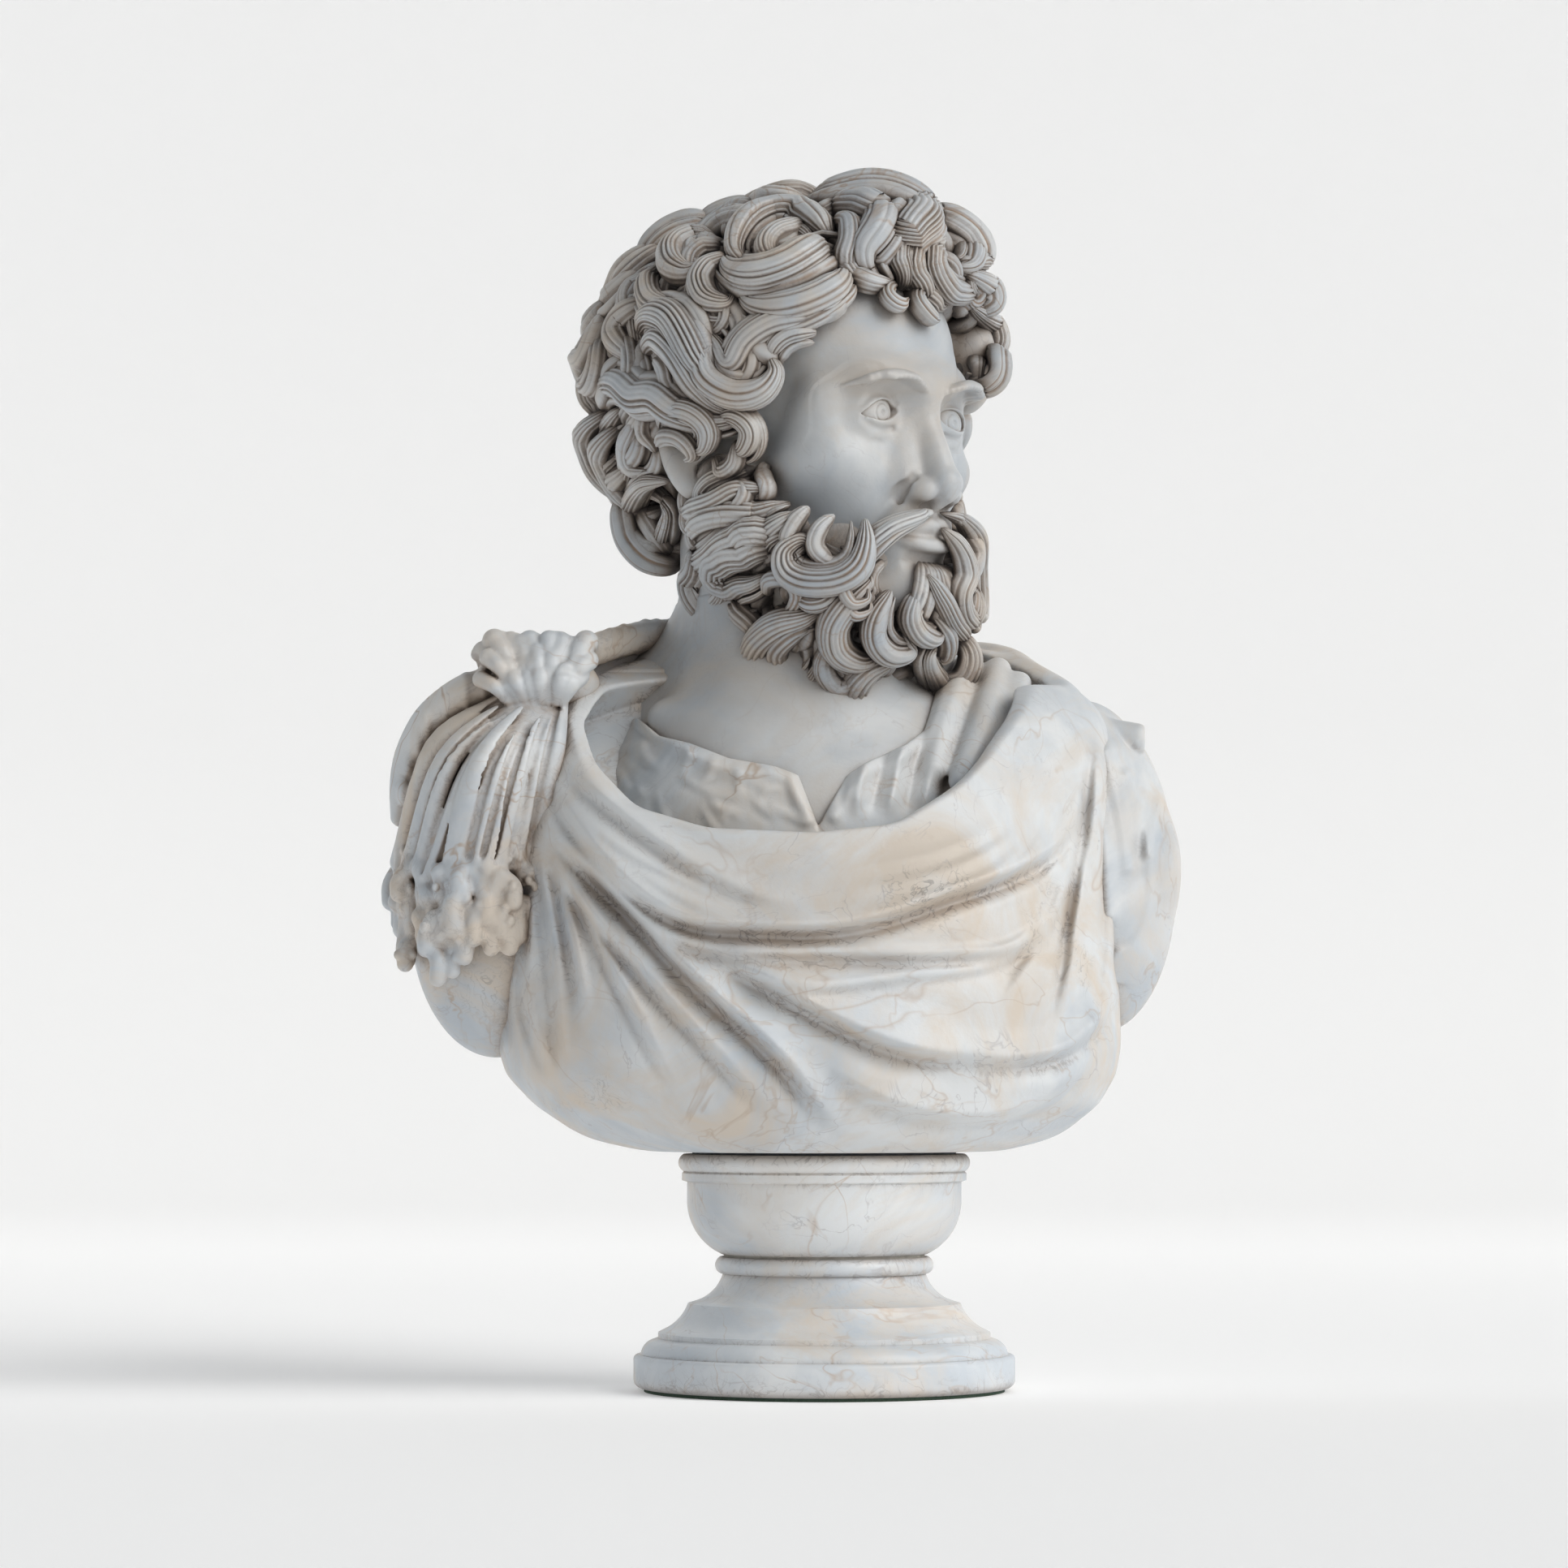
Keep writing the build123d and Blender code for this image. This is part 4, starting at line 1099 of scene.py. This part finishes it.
def taper(t, root=0.45, tip=0.3):
    return (root + (1 - root) * smoothstep(0, 0.3, t)) * (1 - (1 - tip) * smoothstep(0.55, 1.0, t))


def grow(locks, shell, pole, start, length, width, thick, lift, bump, wave, span, phase, curl, lean, strands,
         steps=38, allowed=None):
    """Lays one wavy lock that may end in a curl."""
    def heading(t):
        coil = curl * max(0.0, (t - 0.5) / 0.5) ** 1.4
        return lean + wave * math.sin(phase + 2 * math.pi * t * length / span) + coil

    path, out, ways = shell.flow(start, pole, length, steps, heading)
    while allowed and length > 26 and not all(allowed(d) for d in ways[::3]):
        length *= 0.85
        path, out, ways = shell.flow(start, pole, length, steps, heading)
    t = np.linspace(0, 1, steps)
    rise = lift + bump * np.sin(math.pi * np.clip(t * 1.05, 0, 1)) + 1.6 * np.sin(phase + t * 9)
    sink = (6 + 0.5 * lift) * (1 - smoothstep(0, 0.18, t))
    path = path + out * (rise - sink)[:, None]
    locks.lay(path, out, width * taper(t), thick * taper(t, 0.5, 0.5), strands, phase)


HAIRLINE = [(0, 27), (20, 27), (36, 23), (48, 8), (58, -10), (70, -26), (84, -18), (98, -18), (108, -40),
            (125, -58), (150, -66), (180, -68)]
hairline_az, hairline_el = np.array(HAIRLINE, float).T


def hairline(azimuth):
    """The lowest elevation that hair grows from, all round the head."""
    return np.interp(np.abs(azimuth), hairline_az, hairline_el)


def on_scalp(d):
    azimuth, elevation = angles(d)
    return elevation > hairline(azimuth) - 5


scalp = Shell((0, -12, 34), 92, 107, 81, 114)
WHORL = direction(4, 60)
hair_parts = {name: Locks() for name in ("hair_front", "hair_right", "hair_left", "hair_back")}


def hair_part(d):
    azimuth, elevation = angles(d)
    if elevation > 40 or abs(azimuth) < 38:
        return hair_parts["hair_front"]
    if abs(azimuth) > 128:
        return hair_parts["hair_back"]
    return hair_parts["hair_right" if azimuth < 0 else "hair_left"]


side_a = unit(np.cross(WHORL, (0, 1.0, 0.2)))
side_b = np.cross(WHORL, side_a)


def from_whorl(polar, spin):
    """A direction so many degrees from the whorl, and so many radians round it."""
    polar = math.radians(polar)
    return math.cos(polar) * WHORL + math.sin(polar) * (math.cos(spin) * side_a + math.sin(spin) * side_b)


# Clumps of two or three locks that wave together, in rings round the whorl.
ring_angle, layer = 13.0, 0
while ring_angle < 170:
    around = math.sin(math.radians(ring_angle))
    count = max(4, int(2 * math.pi * around * 96 / 29))
    for i in range(count):
        spin = 2 * math.pi * (i + 0.5 * (layer % 2)) / count + rng.normal(0, 0.5 / count)
        polar = ring_angle + rng.normal(0, 2.5)
        d = from_whorl(polar, spin)
        azimuth, elevation = angles(d)
        margin = elevation - hairline(azimuth)
        if margin < 3:
            continue
        seen = -126 < azimuth < 42 and elevation < 66
        if seen and margin < 16:
            continue
        edge = margin < 24
        swirl = rng.choice((-1, 1)) * rng.uniform(2.6, 4.6) if edge else rng.normal(0, 0.9)
        lift, bump = rng.uniform(-1, 8), rng.uniform(2, 9)
        if seen:
            lift, bump = rng.uniform(-5, -1), rng.uniform(1, 4)
        wave, span = rng.uniform(0.85, 1.25), rng.uniform(58, 74)
        phase, lean = spin * 2.5 + ring_angle * 0.09 + rng.normal(0, 0.5), rng.normal(0, 0.3)
        length = rng.uniform(44, 60) if edge else rng.uniform(66, 92)
        for j in (-1, 0, 1):
            shift = j * 11.5 / (96 * max(around, 0.3))
            grow(
                hair_part(d), scalp, WHORL, from_whorl(polar + rng.normal(0, 1.2), spin + shift),
                length=length * rng.uniform(0.86, 1.05), width=rng.uniform(13, 18),
                thick=rng.uniform(8.5, 12),
                lift=lift + (2.5 if j == 0 else 0), bump=bump, wave=wave, span=span,
                phase=phase + 0.22 * j, curl=swirl * rng.uniform(0.85, 1.15), lean=lean + 0.05 * j,
                strands=int(rng.integers(5, 8)), allowed=on_scalp,
            )
    ring_angle += 15.5
    layer += 1

# Tufts that show from the front: x and z along each, its width, locks side by side and how far it stands off.
HAIR_TUFTS = [
    # Forelock, which rises from the brow, rolls over and falls back on it.
    ([(-26, 668), (-6, 678), (16, 684), (36, 683), (51, 675), (53, 663), (45, 654), (40, 644),
      (45, 632), (44, 621)], 25, 3, 8),
    ([(-12, 664), (6, 672), (22, 671), (32, 662), (29, 652), (22, 642), (26, 629), (38, 619)], 20, 2, 8),
    ([(2, 664), (13, 661), (16, 649), (13, 637), (20, 627), (33, 624), (36, 631)], 15, 2, 7),
    ([(50, 674), (66, 673), (80, 665), (87, 655), (85, 646), (77, 645)], 18, 2, 8),
    ([(56, 668), (70, 664), (82, 655), (82, 643), (74, 640)], 14, 2, 8),
    ([(68, 660), (59, 650), (60, 637), (70, 629), (82, 630), (85, 638)], 16, 2, 7),
    ([(50, 656), (50, 641), (54, 627), (63, 619), (71, 622)], 13, 2, 6),
    ([(46, 630), (51, 618), (60, 609), (67, 607)], 10, 1, 5),
    ([(36, 628), (36, 618), (43, 613), (49, 617)], 9, 1, 5),
    ([(80, 640), (91, 635), (94, 626), (86, 620)], 13, 2, 9),
    ([(86, 624), (97, 616), (99, 604), (91, 597)], 13, 2, 9),
    ([(90, 606), (99, 596), (99, 583), (91, 577), (86, 584)], 12, 2, 8),
    ([(84, 616), (88, 604), (90, 590), (93, 578)], 9, 1, 5),
    # From the parting back over the top.
    ([(4, 684), (-14, 686), (-32, 682), (-48, 674), (-58, 662)], 19, 2, 7),
    ([(-32, 680), (-50, 679), (-66, 672), (-78, 660)], 17, 2, 7),
    ([(-58, 672), (-76, 672), (-92, 664), (-101, 651), (-98, 637)], 18, 2, 8),
    ([(-62, 662), (-75, 659), (-85, 649), (-83, 637), (-74, 633), (-68, 641)], 17, 2, 8),
    ([(-90, 644), (-99, 630), (-95, 617), (-84, 613), (-77, 622)], 16, 2, 7),
    ([(-100, 640), (-110, 630), (-112, 616), (-104, 608)], 14, 2, 6),
    ([(2, 652), (-4, 662), (-18, 669), (-34, 667), (-46, 658), (-50, 645), (-44, 637)], 20, 2, 9),
    ([(-4, 650), (-13, 656), (-25, 653), (-32, 644), (-30, 636), (-21, 637)], 14, 2, 7),
    ([(6, 644), (-6, 639), (-20, 630), (-36, 626), (-50, 631), (-58, 642)], 24, 3, 9),
    ([(10, 632), (6, 621), (-7, 611), (-24, 606), (-39, 610), (-47, 619)], 19, 2, 9),
    ([(12, 620), (5, 611), (-6, 606), (-18, 607)], 12, 1, 5),
    ([(-52, 642), (-63, 637), (-70, 626), (-66, 614), (-55, 612), (-52, 620)], 16, 2, 7),
    ([(-58, 652), (-70, 648), (-78, 638), (-76, 626)], 14, 2, 6),
    # Rows that wave back from the temple.
    ([(2, 606), (-14, 601), (-30, 598), (-44, 590), (-52, 579), (-60, 590), (-70, 600)], 17, 2, 7),
    ([(-4, 597), (-18, 593), (-29, 586), (-34, 576)], 12, 2, 5),
    ([(-60, 594), (-68, 583), (-63, 570), (-49, 562), (-35, 563), (-27, 572), (-30, 582)], 17, 2, 9),
    ([(-52, 588), (-57, 579), (-52, 571), (-42, 570), (-37, 577)], 10, 1, 6),
    ([(-108, 602), (-96, 610), (-83, 606), (-75, 593), (-68, 577), (-57, 564), (-43, 557)], 21, 3, 8),
    ([(-104, 590), (-92, 595), (-81, 585), (-71, 569), (-59, 556), (-45, 551)], 17, 2, 8),
    ([(-92, 618), (-78, 613), (-68, 600), (-62, 588)], 15, 2, 5),
    ([(-130, 566), (-121, 575), (-110, 573), (-101, 565), (-90, 564), (-80, 555), (-67, 548),
      (-53, 546), (-42, 551)], 20, 3, 9),
    ([(-98, 622), (-111, 615), (-117, 604), (-111, 593), (-102, 585)], 17, 2, 8),
    ([(-115, 608), (-127, 601), (-131, 588), (-124, 578), (-113, 577)], 16, 2, 8),
    ([(-126, 598), (-135, 587), (-135, 573), (-129, 561)], 13, 2, 7),
    ([(-110, 590), (-118, 581), (-114, 570), (-103, 567)], 13, 2, 8),
    ([(-96, 584), (-88, 578), (-84, 568), (-76, 560)], 12, 1, 7),
    # Over the ear, behind it and down to the nape.
    ([(-93, 546), (-85, 555), (-72, 553), (-63, 544), (-66, 534), (-75, 532)], 14, 2, 13),
    ([(-94, 538), (-86, 543), (-77, 540), (-72, 532), (-78, 527)], 11, 1, 13),
    ([(-60, 549), (-49, 549), (-41, 541), (-44, 531), (-53, 529)], 13, 2, 8),
    ([(-48, 536), (-50, 526), (-58, 521), (-64, 527)], 11, 1, 7),
    ([(-116, 562), (-125, 552), (-123, 540), (-114, 538)], 13, 2, 7),
    ([(-122, 548), (-126, 535), (-120, 525), (-111, 530)], 13, 2, 7),
    ([(-106, 556), (-112, 542), (-109, 529), (-101, 524)], 13, 2, 6),
    ([(-110, 532), (-114, 521), (-108, 513), (-100, 518)], 12, 1, 7),
    ([(-100, 560), (-102, 546), (-98, 534)], 10, 1, 5),
    ([(-88, 516), (-101, 518), (-110, 509), (-109, 496), (-99, 489), (-90, 494), (-88, 503),
      (-94, 507)], 13, 2, 9),
    ([(-108, 524), (-116, 508), (-114, 491), (-104, 479), (-91, 474), (-84, 481)], 15, 2, 5),
]
# Fuller places that the tufts lie on: the forelock, and the curls over the far temple.
PUFFS = [
    Shell((5, 44, 88), 44, 42, 28, 30),
    Shell((40, 51, 81), 30, 29, 26, 26),
    Shell((64, 26, 54), 28, 32, 34, 36),
]
scalp_front = Front(scalp, *PUFFS)
for number, (marks, wide, count, lift) in enumerate(HAIR_TUFTS):
    clump(hair_parts["hair_front" if number < 26 else "hair_right"], scalp_front, marks, wide, count, lift)

# Locks over the far side of those fuller places.
for puff in PUFFS:
    for elevation in (66, 34, 4):
        for azimuth in range(30 + elevation // 3, 150, 24):
            grow(
                hair_parts["hair_left"], puff, unit(np.array([-0.3, 0.2, 1.0])),
                direction(azimuth + rng.normal(0, 4), elevation + rng.normal(0, 4)),
                length=rng.uniform(30, 40), width=rng.uniform(12, 16), thick=rng.uniform(7, 10), lift=2.0,
                bump=3.0, wave=0.8, span=44, phase=rng.uniform(0, 6), curl=rng.choice((-1, 1)) * 3.0,
                lean=0.3, strands=5,
            )

for name, locks in hair_parts.items():
    locks.mesh(name, lock_marble)

# The mass under the locks.
cap_step = 2.0
cap = Clay((-150, -130, 396), (120, 135, 692), cap_step)
where, x, y, z = cap.whole()
dx, dy, dz = x - HEAD[0], y - HEAD[1], z - HEAD[2]
u = ACROSS[0] * dx + ACROSS[1] * dy - scalp.centre[0]
f = AHEAD[0] * dx + AHEAD[1] * dy - scalp.centre[1]
w = dz - scalp.centre[2]
tall = np.where(w > 0, scalp.high, scalp.low)
near = np.sqrt((u / scalp.wide) ** 2 + (f / scalp.deep) ** 2 + (w / tall) ** 2)
egg = (near - 1) * 90 + 2
azimuth = np.degrees(np.arctan2(u, f))
elevation = np.degrees(np.arctan2(w, np.hypot(u, f)))
below = (hairline(azimuth) + 3 - elevation) * 1.6
cap.add(where, np.maximum(egg, below), 0)
for puff in PUFFS:
    cap.blob(head_to_row(puff.centre), (puff.wide - 1, puff.deep - 1, puff.high - 1), 10, HEAD_AXES)
cap.blob(head_to_row((0, 33, -76)), (54, 58, 70), 0, HEAD_AXES)
cap.blob(head_to_row((81, 54, 42)), (17, 20, 31), 6, HEAD_AXES)
for side in (-1, 1):
    cap.blob(head_to_row((side * 42, 14, -52)), (23, 29, 36), 12, HEAD_AXES)
cap_piece = cap.mesh("hair_mass", hair_marble)
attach(cap_piece, "root")

# Beard: clumps that hang and curl, in rows from the cheeks down.
chin = Shell((0, 33, -76), 62, 66, 108, 78, flare=(46, 13))
CHEEK = [(0, -13), (20, -12), (34, -4), (52, 10), (72, 24), (96, 42), (112, 48)]
cheek_az, cheek_el = np.array(CHEEK, float).T
THROAT = [(60, -90), (80, -58), (110, -24)]
throat_az, throat_el = np.array(THROAT, float).T
POLE = np.array([0, 0, 1.0])


def on_jaw(d):
    azimuth, elevation = angles(d)
    return elevation < np.interp(abs(azimuth), cheek_az, cheek_el) + 5


beard_parts = {"beard_right": Locks(), "beard_left": Locks()}
row, layer = 50.0, 0
while row > -84:
    around = math.cos(math.radians(row))
    span = 110 if row > -30 else 100
    count = max(3, int(2 * math.radians(span) * around * 68 / 18))
    for i in range(count):
        azimuth = -span + 2 * span * (i + 0.5 * (layer % 2)) / count + rng.normal(0, 2.5)
        elevation = row + rng.normal(0, 2.5)
        if abs(azimuth) > 114 or elevation > np.interp(abs(azimuth), cheek_az, cheek_el):
            continue
        if elevation < np.interp(abs(azimuth), throat_az, throat_el):
            continue
        side = -1 if azimuth < 0 else 1
        lift, bump = rng.uniform(-2, 7), rng.uniform(1, 7)
        if -126 < azimuth < 38:
            lift, bump = rng.uniform(-5, -1), rng.uniform(0, 4)
        wave, phase = rng.uniform(0.6, 1.0), rng.uniform(0, 6.3)
        curl = rng.choice((-1, 1)) * rng.uniform(3.4, 6.2)
        length, lean = rng.uniform(38, 56), -side * rng.uniform(-0.3, 0.5)
        for j in (-0.5, 0.5):
            grow(
                beard_parts["beard_right" if azimuth < 8 else "beard_left"], chin, POLE,
                direction(azimuth + j * 8.5 / max(around, 0.4), elevation + rng.normal(0, 1.5)),
                length=length * rng.uniform(0.85, 1.1), width=rng.uniform(10, 13.5),
                thick=rng.uniform(7, 9.5), lift=lift + j, bump=bump, wave=wave, span=44,
                phase=phase + 0.3 * j, curl=curl, lean=lean,
                strands=int(rng.integers(3, 6)), steps=34, allowed=on_jaw,
            )
    row -= 15.0
    layer += 1
BEARD_TUFTS = [
    ([(-40, 524), (-51, 519), (-60, 514), (-64, 506), (-56, 501), (-46, 504), (-36, 500)], 14, 2, 6),
    ([(-54, 530), (-62, 522), (-66, 512), (-62, 503)], 11, 1, 5),
    ([(-20, 501), (-36, 495), (-51, 495), (-65, 492), (-72, 484), (-67, 476)], 17, 2, 7),
    ([(-32, 508), (-46, 509), (-58, 503), (-69, 500), (-74, 493), (-68, 489)], 12, 1, 8),
    ([(-14, 493), (-28, 484), (-44, 483), (-58, 476), (-71, 473), (-76, 463)], 16, 2, 9),
    ([(-18, 482), (-31, 477), (-45, 474), (-56, 470), (-53, 460), (-41, 456), (-31, 461)], 18, 2, 9),
    ([(-60, 480), (-69, 470), (-68, 457), (-60, 449), (-53, 455), (-58, 462)], 13, 2, 10),
    ([(-60, 462), (-64, 449), (-58, 439), (-47, 436), (-40, 443)], 13, 2, 7),
    ([(-52, 450), (-46, 441), (-38, 434), (-36, 425)], 11, 1, 6),
    ([(-54, 434), (-59, 422), (-52, 412), (-43, 412), (-40, 420), (-46, 424)], 14, 2, 8),
    ([(-33, 449), (-30, 458), (-20, 458), (-14, 450), (-19, 441), (-28, 442)], 9, 1, 9),
    ([(22, 491), (21, 476), (17, 464), (7, 457), (-8, 456), (-19, 462), (-21, 473), (-13, 479),
      (-5, 476)], 16, 2, 12),
    ([(6, 492), (-2, 483), (-5, 473), (2, 465), (10, 469)], 10, 1, 10),
    ([(-8, 496), (-17, 488), (-20, 478), (-14, 470)], 10, 1, 8),
    ([(12, 455), (2, 447), (-9, 446), (-18, 450)], 12, 2, 10),
    ([(0, 440), (-11, 438), (-23, 436), (-33, 428), (-34, 417), (-25, 408), (-14, 404), (-4, 410),
      (-3, 420)], 17, 2, 11),
    ([(-6, 431), (-17, 430), (-25, 423), (-22, 414), (-12, 413)], 12, 1, 11),
    ([(-18, 405), (-19, 394), (-9, 389), (1, 394), (2, 404)], 13, 2, 9),
    ([(-36, 410), (-32, 401), (-22, 397)], 10, 1, 6),
    ([(26, 458), (15, 446), (7, 433), (9, 420), (22, 413), (31, 418)], 17, 2, 11),
    ([(36, 452), (28, 440), (27, 428), (35, 420), (46, 421), (44, 430)], 14, 2, 11),
    ([(52, 450), (46, 438), (50, 429), (60, 428), (64, 436)], 13, 2, 10),
    ([(4, 424), (1, 412), (8, 403), (18, 405), (19, 413)], 13, 2, 9),
    ([(42, 414), (27, 411), (17, 401), (19, 391), (30, 387), (41, 392), (39, 400)], 16, 2, 11),
    ([(62, 410), (66, 399), (57, 390), (46, 394), (48, 403)], 14, 2, 10),
    ([(74, 432), (79, 421), (73, 409), (61, 409), (55, 418), (62, 425)], 14, 2, 11),
    # Tight curls over the jaw.
    ([(-56, 521), (-67, 516), (-72, 507), (-66, 499), (-57, 502), (-60, 510)], 11, 1, 10),
    ([(-50, 513), (-43, 506), (-47, 497), (-57, 496)], 10, 1, 9),
    ([(-55, 491), (-47, 485), (-49, 475), (-60, 472), (-65, 480)], 11, 1, 9),
    ([(58, 440), (66, 430), (64, 420), (56, 416)], 11, 1, 10),
    ([(66, 488), (74, 476), (76, 463), (72, 452), (75, 443), (83, 445), (84, 455), (78, 458)], 13, 2, 10),
    ([(80, 490), (84, 477), (82, 464), (84, 452)], 11, 1, 7),
    ([(58, 462), (63, 449), (68, 437), (76, 433), (79, 440)], 12, 2, 9),
]
chin_front = Front(chin, Shell((-42, 14, -52), 27, 34, 40, 46))
for marks, wide, count, lift in BEARD_TUFTS:
    fuller = 2 if marks[0][0] < -12 else 0
    part = beard_parts["beard_right" if marks[0][0] < 20 else "beard_left"]
    clump(part, chin_front, marks, wide + 0.4 * fuller, count, lift + fuller)

# The far sideburn, which joins the hair to the beard in front of the ear.
for azimuth in (74, 84, 94):
    for elevation in (30, 40, 50):
        grow(
            beard_parts["beard_left"], chin, POLE, direction(azimuth, elevation),
            length=32, width=12, thick=8, lift=2.0,
            bump=3.0, wave=0.8, span=44, phase=rng.uniform(0, 6), curl=rng.choice((-1, 1)) * 3.4,
            lean=0.1, strands=4,
        )

# The tuft under the lower lip.
for k in (-2, -1, 0, 1, 2):
    path = spline([(4 * k, 95, -84), (6 * k, 100, -94), (8.5 * k, 102, -106), (10 * k, 98, -118)], 8)
    t = np.linspace(0, 1, len(path))
    out = unit(np.column_stack([path[:, 0], np.full(len(path), 60.0), np.full(len(path), -8.0)]))
    beard_parts["beard_left"].lay(path, out, 11 * taper(t, 0.4, 0.7), 5.5 * taper(t, 0.4, 0.8), 4, k)

for name, locks in beard_parts.items():
    locks.mesh(name, lock_marble)

# Moustache: sweeps out from under the nose and turns down past the mouth.
moustache = Locks()
for side in (-1, 1):
    for start, shift, drop, wide in (
        (3, 0, 0, 10), (6, 2, 5, 10), (9, 5, 10, 9), (3, 4, -4, 9), (12, 9, 4, 9)
    ):
        points = np.array([
            (side * start, 101, -56 + 0.1 * drop),
            (side * (15 + start / 2), 103 + shift / 2, -60 - 0.2 * drop),
            (side * (30 + shift), 95 + shift / 2, -67 - 0.5 * drop),
            (side * (43 + shift), 84 + shift / 2, -80 - drop),
            (side * (50 + shift), 79 + shift / 2, -96 - drop),
            (side * (47 + shift), 82 + shift / 2, -107 - drop),
            (side * (40 + shift), 87 + shift / 2, -105 - drop),
            (side * (40 + shift), 88 + shift / 2, -98 - drop),
        ])
        path = spline(points, 6)
        t = np.linspace(0, 1, len(path))
        out = unit(np.column_stack([path[:, 0] * 0.9, np.full(len(path), 70.0), np.full(len(path), 12.0)]))
        moustache.lay(path, out, wide * taper(t, 0.5, 0.4), 0.66 * wide * taper(t, 0.5, 0.5), 4, start)
moustache.mesh("moustache", lock_marble)


# --- socle and hidden pieces --------------------------------------------------------------------
for node in ("socle_foot", "socle_bowl"):
    dress(node, socle_marble)
mortar = plain("mortar", (0.55, 0.52, 0.46), 0.85)
steel = plain("stainless_steel", (0.55, 0.55, 0.54), 0.34, 1.0)
bronze = plain("bronze", (0.42, 0.27, 0.13), 0.45, 1.0)
for node in ("socle_bed", "neck_bed"):
    dress(node, mortar)
for node in ("tie_rod", "rod_washer", "rod_nut", "seat_pin", "socle_pins"):
    dress(node, steel)
dress("neck_dowel", bronze)
dress("felt_disc", plain("felt", (0.06, 0.10, 0.07), 0.95, scale=900))
dress("seat_shim", plain("lead", (0.17, 0.18, 0.19), 0.6, 1.0))
dress("rod_resin", plain("resin", (0.30, 0.26, 0.18), 0.4))

# --- floor, light and camera --------------------------------------------------------------------
FLOOR_GREY = 0.88
floor_shader = Shader("backdrop")
floor_shader.surface.inputs["Base Color"].default_value = (FLOOR_GREY, FLOOR_GREY, FLOOR_GREY, 1)
floor_shader.surface.inputs["Roughness"].default_value = 0.9
floor_shader.surface.inputs["Specular IOR Level"].default_value = 0.0
level = floor_shader.node("ShaderNodeSeparateXYZ")
floor_shader.link(floor_shader.node("ShaderNodeNewGeometry").outputs["Normal"], level.inputs[0])
glow = floor_shader.ramp(level.outputs["Z"], [(0.0, 0.078), (0.49, 0.085), (0.97, 0.15), (1.0, 0.235)])
floor_shader.link(glow, floor_shader.surface.inputs["Emission Color"])
floor_shader.surface.inputs["Emission Strength"].default_value = 1.0


def backdrop():
    """A pale floor that sweeps up into a wall well behind the bust."""
    half_width, sweep_from, sweep_r, wall_top, steps = 14, 2.2, 1.2, 5.0, 12
    profile = [(-14.0, 0.0), (sweep_from, 0.0)]
    for step in range(1, steps + 1):
        bend = math.radians(90 * step / steps)
        profile.append((sweep_from + sweep_r * math.sin(bend), sweep_r - sweep_r * math.cos(bend)))
    profile.append((3.4, wall_top))
    verts, quads = [], []
    for y, z in profile:
        verts += [(-half_width, y, z), (half_width, y, z)]
    for i in range(len(profile) - 1):
        quads.append((2 * i, 2 * i + 1, 2 * i + 3, 2 * i + 2))
    return add_mesh("backdrop", np.array(verts), np.array(quads), floor_shader.material)


backdrop()


def sun(name, source, strength, spread, colour=(1, 1, 1)):
    """Broad light from far off in the direction of source."""
    light = bpy.data.lights.new(name, "SUN")
    light.energy = strength
    light.angle = math.radians(spread)
    light.color = colour
    lamp = bpy.data.objects.new(name, light)
    lamp.rotation_euler = Vector(source).to_track_quat("Z", "Y").to_euler()
    bpy.context.scene.collection.objects.link(lamp)


sun("key", (1.0, -0.70, 0.80), 2.25, 50, (1.0, 0.985, 0.96))
sun("rim", (-0.8, 0.4, 0.7), 0.25, 40, (0.9, 0.95, 1.0))

world = bpy.data.worlds.new("studio")
bpy.context.scene.world = world
world.use_nodes = True
# The room is light near the horizon and dimmer overhead.
sky = world.node_tree.nodes
height = sky.new("ShaderNodeSeparateXYZ")
world.node_tree.links.new(sky.new("ShaderNodeTexCoord").outputs["Generated"], height.inputs[0])
fade = sky.new("ShaderNodeValToRGB")
fade.color_ramp.elements[0].position = 0.02
fade.color_ramp.elements[0].color = (0.84, 0.85, 0.86, 1)
fade.color_ramp.elements[1].position = 0.24
fade.color_ramp.elements[1].color = (0.10, 0.11, 0.12, 1)
world.node_tree.links.new(height.outputs["Z"], fade.inputs["Fac"])
world.node_tree.links.new(fade.outputs["Color"], sky["Background"].inputs["Color"])
sky["Background"].inputs["Strength"].default_value = 1.0

camera = bpy.data.objects.new("camera", bpy.data.cameras.new("camera"))
bpy.context.scene.collection.objects.link(camera)
bpy.context.scene.camera = camera
# The eye is low and 2.9 m off, which fits how flat the foot's curves look.
CAMERA_X, CAMERA_FAR, CAMERA_HIGH, TARGET_HIGH = -0.023, 2.9, 0.18, 0.347
eye, target = Vector((CAMERA_X, -CAMERA_FAR, CAMERA_HIGH)), Vector((CAMERA_X, 0, TARGET_HIGH))
camera.location = eye
camera.rotation_euler = (target - eye).to_track_quat("-Z", "Y").to_euler()
camera.data.lens = 116
camera.data.sensor_width = 36

bpy.context.scene.view_settings.view_transform = "Standard"
